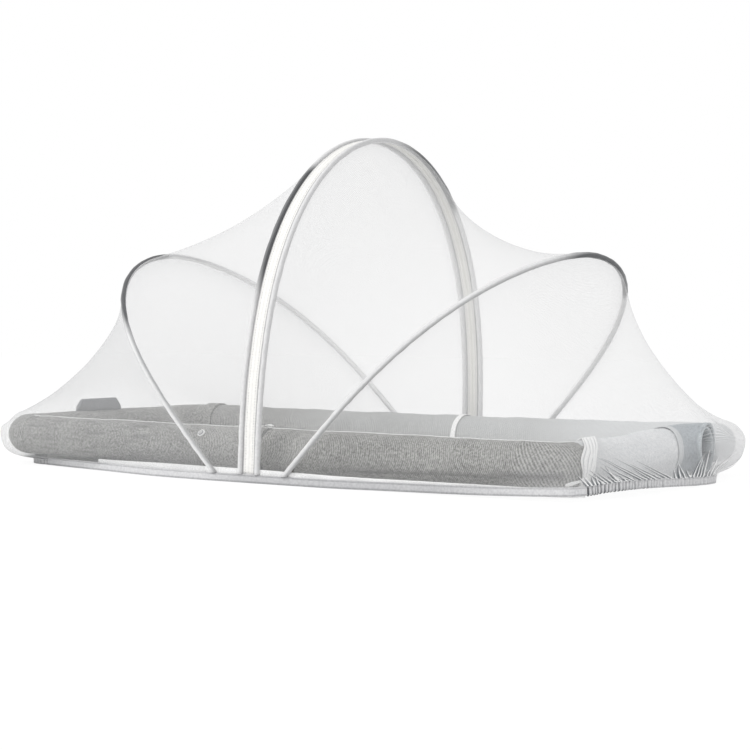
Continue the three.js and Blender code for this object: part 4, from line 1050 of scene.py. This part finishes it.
def drape(first, second, shares, pull, over_rails=False, turns=2400):
    """The settled grid between two lines. pull is how much the cloth draws along itself."""
    shares = np.asarray(shares)
    grid = first[:, None] + shares[None, :, None] * (second - first)[:, None]
    before = (1 / (shares[1:-1] - shares[:-2]))[None, :, None]
    after = (1 / (shares[2:] - shares[1:-1]))[None, :, None]
    weight = pull * (1 - shares[1:-1])[None, :, None] if over_rails else pull
    for _ in range(turns):
        down = (grid[1:-1, :-2] * before + grid[1:-1, 2:] * after) / (before + after)
        along = (grid[:-2, 1:-1] + grid[2:, 1:-1]) / 2
        inner = down + (along - down) * weight
        if over_rails:
            inner = keep_clear(inner.reshape(-1, 3)).reshape(inner.shape)
        grid[1:-1, 1:-1] = inner
    return grid


def beside_sleeve(line, other, reach):
    way = tangents(line)
    towards = other - line
    towards = unit(towards - (towards * way).sum(axis=1, keepdims=True) * way)
    return line + towards * reach


# %% The two panels between the hoops and the arch
EDGE_REACH = SLEEVE_RADIUS - 0.8  # an edge is sewn into its sleeve
PULL = {"head": 0.4, "foot": 0.65, "headEnd": 0.8, "footEnd": 0.64}
INNER_GRID, END_GRID = (220, 60), (700, 66)


def declare_net(name, grid, gather, shade=0.0):
    made = cloth_piece(name + "_netting", grid, NETTING, "netting", name, tube=False, gather=gather,
                       shade=shade)


def inner_panel(name, hoop, shift, seed, veil):
    side, arch = hoop_stations(hoop), hoop_stations("arch", shift)
    edges = [beside_sleeve(side, arch, EDGE_REACH), beside_sleeve(arch, side, EDGE_REACH)]
    for edge in edges:
        way = tangents(edge)
        for k in (0, -1):
            edge[k] += way[k] * (HOOP_FOOT - 1 - edge[k][2]) / way[k][2]
    smooth = finer(drape(*edges, np.linspace(0, 1, 7), PULL[hoop]), *INNER_GRID)
    along, across = np.arange(INNER_GRID[0])[:, None] * 6.0, np.linspace(0, 1, INNER_GRID[1])[None, :]
    billow = 0.8 * np.sin(math.pi * across) * ripples(along, across * 200, 160, seed)
    grid = smooth + billow[..., None] * grid_normals(smooth)
    sewn = np.exp(-across * 60) + np.exp(-(1 - across) * 60)
    declare_net(name, grid, 0.3 * sewn + veil)


inner_panel("net_head", "head", -PIPING_SHIFT, seed=61, veil=0.0)
inner_panel("net_foot", "foot", PIPING_SHIFT, seed=62, veil=-0.08)

# %% The line outside the rails where an end panel turns down
END_SHARES = [0, 0.17, 0.33, 0.48, 0.61, 0.72, 0.8, 0.86, 0.905, 0.94, 0.972, 1]
SHOULDER, FOOT_ROWS, WEDGE = 58.0, 5, 27.0
OUTSIDE = {"head": (-1, 551.5, 274, 82, 82), "foot": (1, 565, 274, 84, 30)}


def outside_line(end, hem):
    side, reach, half_width, near_corner, far_corner = OUTSIDE[end]
    points = [(hem[0][0], -half_width, SHOULDER)]
    for far, radius in ((-1, near_corner), (1, far_corner)):
        for k in range(7):
            turn = (k / 6 if far < 0 else 1 - k / 6) * QUARTER
            points.append((side * (reach - radius + radius * math.sin(turn)),
                           far * (half_width - radius + radius * math.cos(turn)), SHOULDER))
    return np.array(points + [(hem[-1][0], half_width, SHOULDER)])


def hem_of_end(end):
    side = OUTSIDE[end][0]
    near_foot, far_foot = HOOPS[end][:2]
    points = hem_line(NEAR_ROW, LAST_ROW)
    foot = np.where(points[:, 1] < 0, near_foot, far_foot)
    points = points[side * points[:, 0] > side * foot + WEDGE]
    if side > 0:
        return points
    gap = next(i for i in range(1, len(points)) if points[i][1] > 0 > points[i - 1][1])
    return np.roll(points, -gap, axis=0)[::-1]


def skirt(over, hem, side):
    """From the shoulder down to the hem, and under the rail where the hem lies further in."""
    flat = lambda p: np.hypot(p[:, 0] - side * 300, p[:, 1])
    tuck = np.clip((flat(over) - flat(hem)) / 20, 0, 1)[:, None]
    lowered = over - 0.6 * (over[:, 2:] - hem[:, 2:]) * UP
    upper = over + (hem - over) / 3
    upper = upper + (lowered - upper) * tuck
    level = over + 0.1 * (hem - over)
    level[:, 2] = hem[:, 2]
    lower = over + (hem - over) * 2 / 3
    lower = lower + (level - lower) * tuck
    rows = [(1 - t) ** 3 * over + 3 * (1 - t) ** 2 * t * upper + 3 * (1 - t) * t**2 * lower + t**3 * hem
            for t in (0.25, 0.5, 0.75, 1)]
    return np.stack(rows, axis=1)


# %% Gathers: folds that start at the hem and lean as the elastic pulls them
# for each stretch of elastic: how far it reaches, and its folds' spacing, lean and length
FOLDS = {
    "head": [(90, 9, 0.3, 18), (400, 10, 0.0, 16), (120, 9, -0.3, 18)],
    "foot": [(35, 8, -0.6, 18), (60, 10, -1.5, 28), (130, 13, -2.3, 42), (45, 12, -0.5, 34),
             (60, 10, 0.6, 46), (50, 9, 1.0, 56), (100, 10, 0.6, 50), (170, 12, 0.2, 22)],
}
# across a fold: place in half widths, height, how thick the netting lies, and how much it is shaded
FOLD_PROFILE = ((-2.3, 0.0, 0.4, 0.9), (-0.9, 0.15, 0.9, 1.0), (-0.35, 0.9, 0.9, 0.0), (0.25, 1.0, 1.0, 0.0),
                (1.0, 0.1, 0.1, 0.0))
FOLD_STEPS, FOLD_LIFT = 14, 0.8  # points along a fold, and how far it lies off the panel in mm


def point_on(grid, along, from_hem, place, height):
    """The grid's point that far along the hem and that far up from it."""
    i = float(np.clip(np.interp(place, along[:, 0], np.arange(len(along))), 0, len(along) - 1.001))
    k, share = int(i), i % 1
    rows = []
    for row in (k, k + 1):
        j = np.interp(height, from_hem[row][::-1], np.arange(grid.shape[1])[::-1])
        low = int(min(j, grid.shape[1] - 2))
        rows.append(grid[row, low] + (grid[row, low + 1] - grid[row, low]) * (j - low))
    return rows[0] + (rows[1] - rows[0]) * share


def gather_folds(name, grid, normals, along, from_hem, start, table, seed, height):
    """Each fold is a narrow ridge of doubled netting, widest at the hem, that runs out up the panel."""
    chance = np.random.default_rng(seed)
    points, marks, heights = [], [], []
    place, begun = start, start
    for reach, spacing, lean, length in table:
        while place < begun + reach:
            long = length * chance.uniform(0.45, 1.5)
            slope, bend = lean + chance.uniform(-0.2, 0.2), chance.uniform(-0.2, 0.2)
            width, tall = chance.uniform(1.3, 2.3), height * chance.uniform(0.7, 1.15)
            for n in range(FOLD_STEPS):
                up = long * n / (FOLD_STEPS - 1)
                left = 1 - n / (FOLD_STEPS - 0.4)
                centre = place + slope * up + bend * up * up / long
                facing = point_on(normals, along, from_hem, centre, up)
                for side_step, out, thick, deep in FOLD_PROFILE:
                    on = point_on(grid, along, from_hem, centre + side_step * width * left**0.5, up)
                    points.append(on + facing * (FOLD_LIFT + out * tall * left**0.7))
                    marks.append((thick * left**0.6, deep * np.interp(on[1], (50, 110), (1, 0.4))))
                    heights.append(up)
            place += spacing * chance.uniform(0.6, 1.4)
        begun += reach
    columns = len(FOLD_PROFILE)
    count = len(points) // (FOLD_STEPS * columns)
    rows = [(fold * FOLD_STEPS + n) * columns for fold in range(count) for n in range(FOLD_STEPS - 1)]
    faces = [(a, a + columns, a + columns + 1, a + 1) for row in rows for a in range(row, row + columns - 1)]
    maps = [(heights[face[1]], corner % columns) for face in faces for corner in face]
    gather, shade = np.array(marks).T
    mesh = cloth_mesh(name, points, faces, maps, GATHERED_NETTING, {"gather": gather, "shade": shade})
    print(name, "has", count, "folds")
    return on_body(name, mesh)


# %% The two end panels, over the rails and down to the hem
END_FULLNESS, SMALL_WAVE = 1.15, 9  # cloth to the length it covers, and the spacing of its small gathers


def settled_end(end, side):
    """The panel from its hoop to the hem before its gathers, and the way outwards all over it."""
    rod = hoop_stations(end)[1:-1]
    shares = np.linspace(0, 1, len(rod))
    hem_points = hem_of_end(end)
    hem = points_at(hem_points, shares) + (TAPE_HEIGHT - 1.5) * UP
    edge = beside_sleeve(rod, hem, EDGE_REACH)
    from_foot = np.minimum(np.arange(len(rod)), np.arange(len(rod))[::-1])[:, None]
    shoulder = edge + 0.6 * (hem - edge)
    outside = points_at(outside_line(end, hem_points), shares)
    shoulder = shoulder + (outside - shoulder) * smooth_step(0, FOOT_ROWS, from_foot)
    coarse = drape(edge, shoulder, END_SHARES, PULL[end + "End"], True)
    smooth = finer(np.concatenate([coarse, skirt(shoulder, hem, side)], axis=1), *END_GRID)
    normals = grid_normals(smooth)
    return smooth, normals * math.copysign(1, (normals * (smooth - 60 * UP)).sum(axis=2).mean())


def small_gathers(foot_line, along, from_hem, side, seed):
    """Small waves where elastic gathers the hem, from 0 to 1, and the place where the elastic starts."""
    limit = np.where(foot_line[:, 1] < 0, 578, 470) if side > 0 else 438
    gathered = np.clip((side * foot_line[:, 0] - limit) / 4, 0, 1)[:, None]
    phase = 2 * math.pi * along / SMALL_WAVE + 2.2 * ripples(along, 0 * along, 45, seed)
    waves = (0.5 + 0.5 * np.sin(phase)) * bell(from_hem, 0, 10) * gathered
    return waves, float(along[np.argmax(gathered[:, 0] > 0)][0])


def foot_end_marks(x, y, from_hem):
    """The foot end's netting lies thicker outside the rail, at the far corner and under the roll, where it
    is also in shade."""
    far_corner = smooth_step(115, 165, y) * smooth_step(440, 520, x)
    under_roll = smooth_step(10, 40, y) * smooth_step(150, 110, y) * smooth_step(480, 540, x)
    under_roll = under_roll * np.exp(-((from_hem / 12) ** 4))
    thicker = 0.15 * smooth_step(440, 545, x) * bell(from_hem, 0, 120)
    return thicker + 0.45 * far_corner * bell(from_hem, 0, 130) + 0.65 * under_roll, 0.4 * under_roll


def end_panel(name, end, seed, height, veil):
    """height is how tall the folds stand, and veil how much thicker than plain netting the panel lies."""
    side = OUTSIDE[end][0]
    smooth, normals = settled_end(end, side)
    to_hem = lengths_along(smooth, 1)
    from_hem = to_hem[:, -1:] - to_hem
    along = run_of(smooth[:, -1])[:, None]
    columns = np.arange(END_GRID[1])[None, :]
    small, start = small_gathers(smooth[:, -1], along, from_hem, side, seed + 1)
    billow = 0.8 * np.abs(ripples(along, from_hem, 150, seed + 2)) * np.clip(from_hem / 60, 0, 1)
    grid = smooth + (1.6 * small + billow * np.clip(columns / 12, 0, 1))[..., None] * normals
    gather = veil + 0.3 * small + 0.3 * np.exp(-columns / 1.2) + 0.25 * np.exp(-from_hem / 3)
    if side > 0:
        thicker, shade = foot_end_marks(smooth[..., 0], smooth[..., 1], from_hem)
        rail = "roll_foot_cover"
    else:
        # The head end's netting is a little darker all over: painted shade.
        thicker, shade, rail = -0.14 * smooth_step(470, 545, -smooth[..., 0]), 0.2, "rail_head_cover"
    folds = gather_folds(name + "_folds", grid, normals, along, from_hem, start, FOLDS[end], seed, height)
    declare_net(name, grid, np.maximum(gather + thicker, -0.12),
                shade)


end_panel("net_head_end", "head", seed=71, height=1.6, veil=0.03)
end_panel("net_foot_end", "foot", seed=72, height=2.6, veil=-0.12)

# %% [markdown]
# ## The zip
# Between the two rods of the arch runs a zip, closed: two woven tapes that meet at a row of fine teeth. The
# tapes are one thin profile swept along the arch. The teeth and the stitches repeat along lines, so one
# Geometry Nodes tree makes them: it sets a short thread at even steps, lying the way an attribute says.

# %% The two tapes
line = hoop_stations("arch", 0.0, 240)
_, normal = hoop_line("arch")
raised = unit(np.cross(tangents(line), normal))
# half of the tapes' profile: distance from the middle, and half thickness
HALF_PROFILE = ((0, 0.45), (0.6, 0.7), (1.6, 0.8), (2.6, 0.6), (5, 0.55), (8, 0.6), (10.6, 0.6), (11, 0.35))
profile = np.array([(-x, half) for x, half in HALF_PROFILE[:0:-1]] + list(HALF_PROFILE))
across, half = profile.T
along = np.arange(len(line))[:, None] * 5.4  # the rows lie 5.4 mm apart
waver = 0.7 * ripples(along, 0 * along, 60, 81) * np.exp(-line[:, 2:] / 200)
flat = line[:, None] + across[None, :, None] * normal
top, bottom = (flat + (face * half + waver)[..., None] * raised[:, None] for face in (1, -1))
edge_shade = (0.7 * bell(np.abs(across), 10.8, 0.5) + 0.12 * bell(across, 0, 1.2))[None]
tapes = cloth_piece("zip_tape_woven", there_and_back(top, bottom), ZIP_TAPE, "zip", "zip_tape",
                    shade=there_and_back(edge_shade, edge_shade))


# %% The tree that sets threads along lines
def thread_tree():
    made = bpy.data.node_groups.new("threads along lines", "GeometryNodeTree")
    for title, way, kind in (("Geometry", "INPUT", "Geometry"), ("Spacing", "INPUT", "Float"),
                             ("Thread length", "INPUT", "Float"), ("Thread radius", "INPUT", "Float"),
                             ("Finish", "INPUT", "Material"), ("Geometry", "OUTPUT", "Geometry")):
        made.interface.new_socket(title, in_out=way, socket_type="NodeSocket" + kind)
    given = add(made, "NodeGroupInput")
    lines = add(made, "GeometryNodeMeshToCurve", {"Mesh": given["Geometry"]})[0]
    steps = add(made, "GeometryNodeResampleCurve", {"Curve": lines, "Length": given["Spacing"]},
                mode="LENGTH")[0]
    thread = add(made, "GeometryNodeMeshCylinder",
                 {"Vertices": 5, "Radius": given["Thread radius"], "Depth": given["Thread length"]})[0]
    lie = add(made, "GeometryNodeInputNamedAttribute", {"Name": "lie"}, data_type="FLOAT_VECTOR")[0]
    turned = add(made, "FunctionNodeAlignRotationToVector", {"Vector": lie}, axis="Z")[0]
    placed = add(made, "GeometryNodeInstanceOnPoints",
                 {"Points": steps, "Instance": thread, "Rotation": turned})[0]
    real = add(made, "GeometryNodeRealizeInstances", {0: placed})[0]
    finished = add(made, "GeometryNodeSetMaterial", {"Geometry": real, "Material": given["Finish"]})[0]
    add(made, "NodeGroupOutput", {"Geometry": finished})
    return made


THREADS = thread_tree()


def threads(name, lines, lies, finish, slot, spacing, length, radius):
    """Short threads along the lines. lies gives the way each one lies, as one vector for each point."""
    starts = np.cumsum([0] + [len(line) for line in lines])
    edges = [(k, k + 1) for start, stop in zip(starts, starts[1:]) for k in range(start, stop - 1)]
    mesh = bpy.data.meshes.new(name + "_lines")
    mesh.from_pydata(in_metres(np.concatenate(lines)).tolist(), edges, [])
    marks = mesh.attributes.new("lie", "FLOAT_VECTOR", "POINT")
    marks.data.foreach_set("vector", np.concatenate(lies).astype(np.float32).reshape(-1))
    guide = bpy.data.objects.new(name + "_guide", mesh)
    scene.collection.objects.link(guide)
    modifier = guide.modifiers.new("threads", "NODES")
    modifier.node_group = THREADS
    values = {"Spacing": spacing / 1000, "Thread length": length / 1000, "Thread radius": radius / 1000,
              "Finish": finish}
    for socket in THREADS.interface.items_tree:
        if socket.in_out == "INPUT" and socket.name in values:
            modifier[socket.identifier] = values[socket.name]
    settled = guide.evaluated_get(bpy.context.evaluated_depsgraph_get())
    made_mesh = bpy.data.meshes.new_from_object(settled)
    made_mesh.name = name
    bpy.data.objects.remove(guide)
    on_body(name, made_mesh)
    print(name, "has", len(made_mesh.polygons), "faces")


# %% Teeth and stitches
STITCH = {"spacing": 4.0, "length": 2.6}
NYLON = cloth_finish("moulded nylon teeth", "#F4F3EE", "#DEDDD6", 2.0, roughness=0.4)
THREAD = cloth_finish("spun polyester thread", "#D4D4D6", "#A9A9AC", 1.0, roughness=0.8)
middle_line = line + raised * (0.8 + waver)
across_zip = np.repeat(normal[None], len(line), axis=0)
threads("zip_teeth", [middle_line], [across_zip], NYLON, "zip", spacing=2.2, length=3.6, radius=0.55)
rows = [line + normal * offset + raised * (face * 0.7 + waver)
        for offset in (-9.4, -6.2, 6.2, 9.4) for face in (1, -1)]
threads("zip_stitches", rows, [tangents(line)] * len(rows), THREAD, "zip", radius=0.28, **STITCH)
sewn = [(grid[:, level], face * 0.9 * grid_normals(grid)[:, level])
        for grid in HEM_GRIDS for level in (1, 7) for face in (1, -1)]
threads("hem_stitches", [row + off for row, off in sewn], [tangents(row) for row, _ in sewn], THREAD,
        "hem_tape", radius=0.25, **STITCH)
# A pale line of short bleached cotton threads runs along the top of the near rail's cover.
SEAM_ANGLE = np.array([math.radians(84)])
seam = round_rows(NEAR_STATIONS, SEAM_ANGLE, cover_swell(NEAR_STATIONS, SEAM_ANGLE, NEAR_SEED) + 0.2)[:, 0]
threads("rail_top_threads", [seam], [tangents(seam)], COTTON_WEBBING, "cotton", spacing=3.0, length=3.6, radius=0.7)
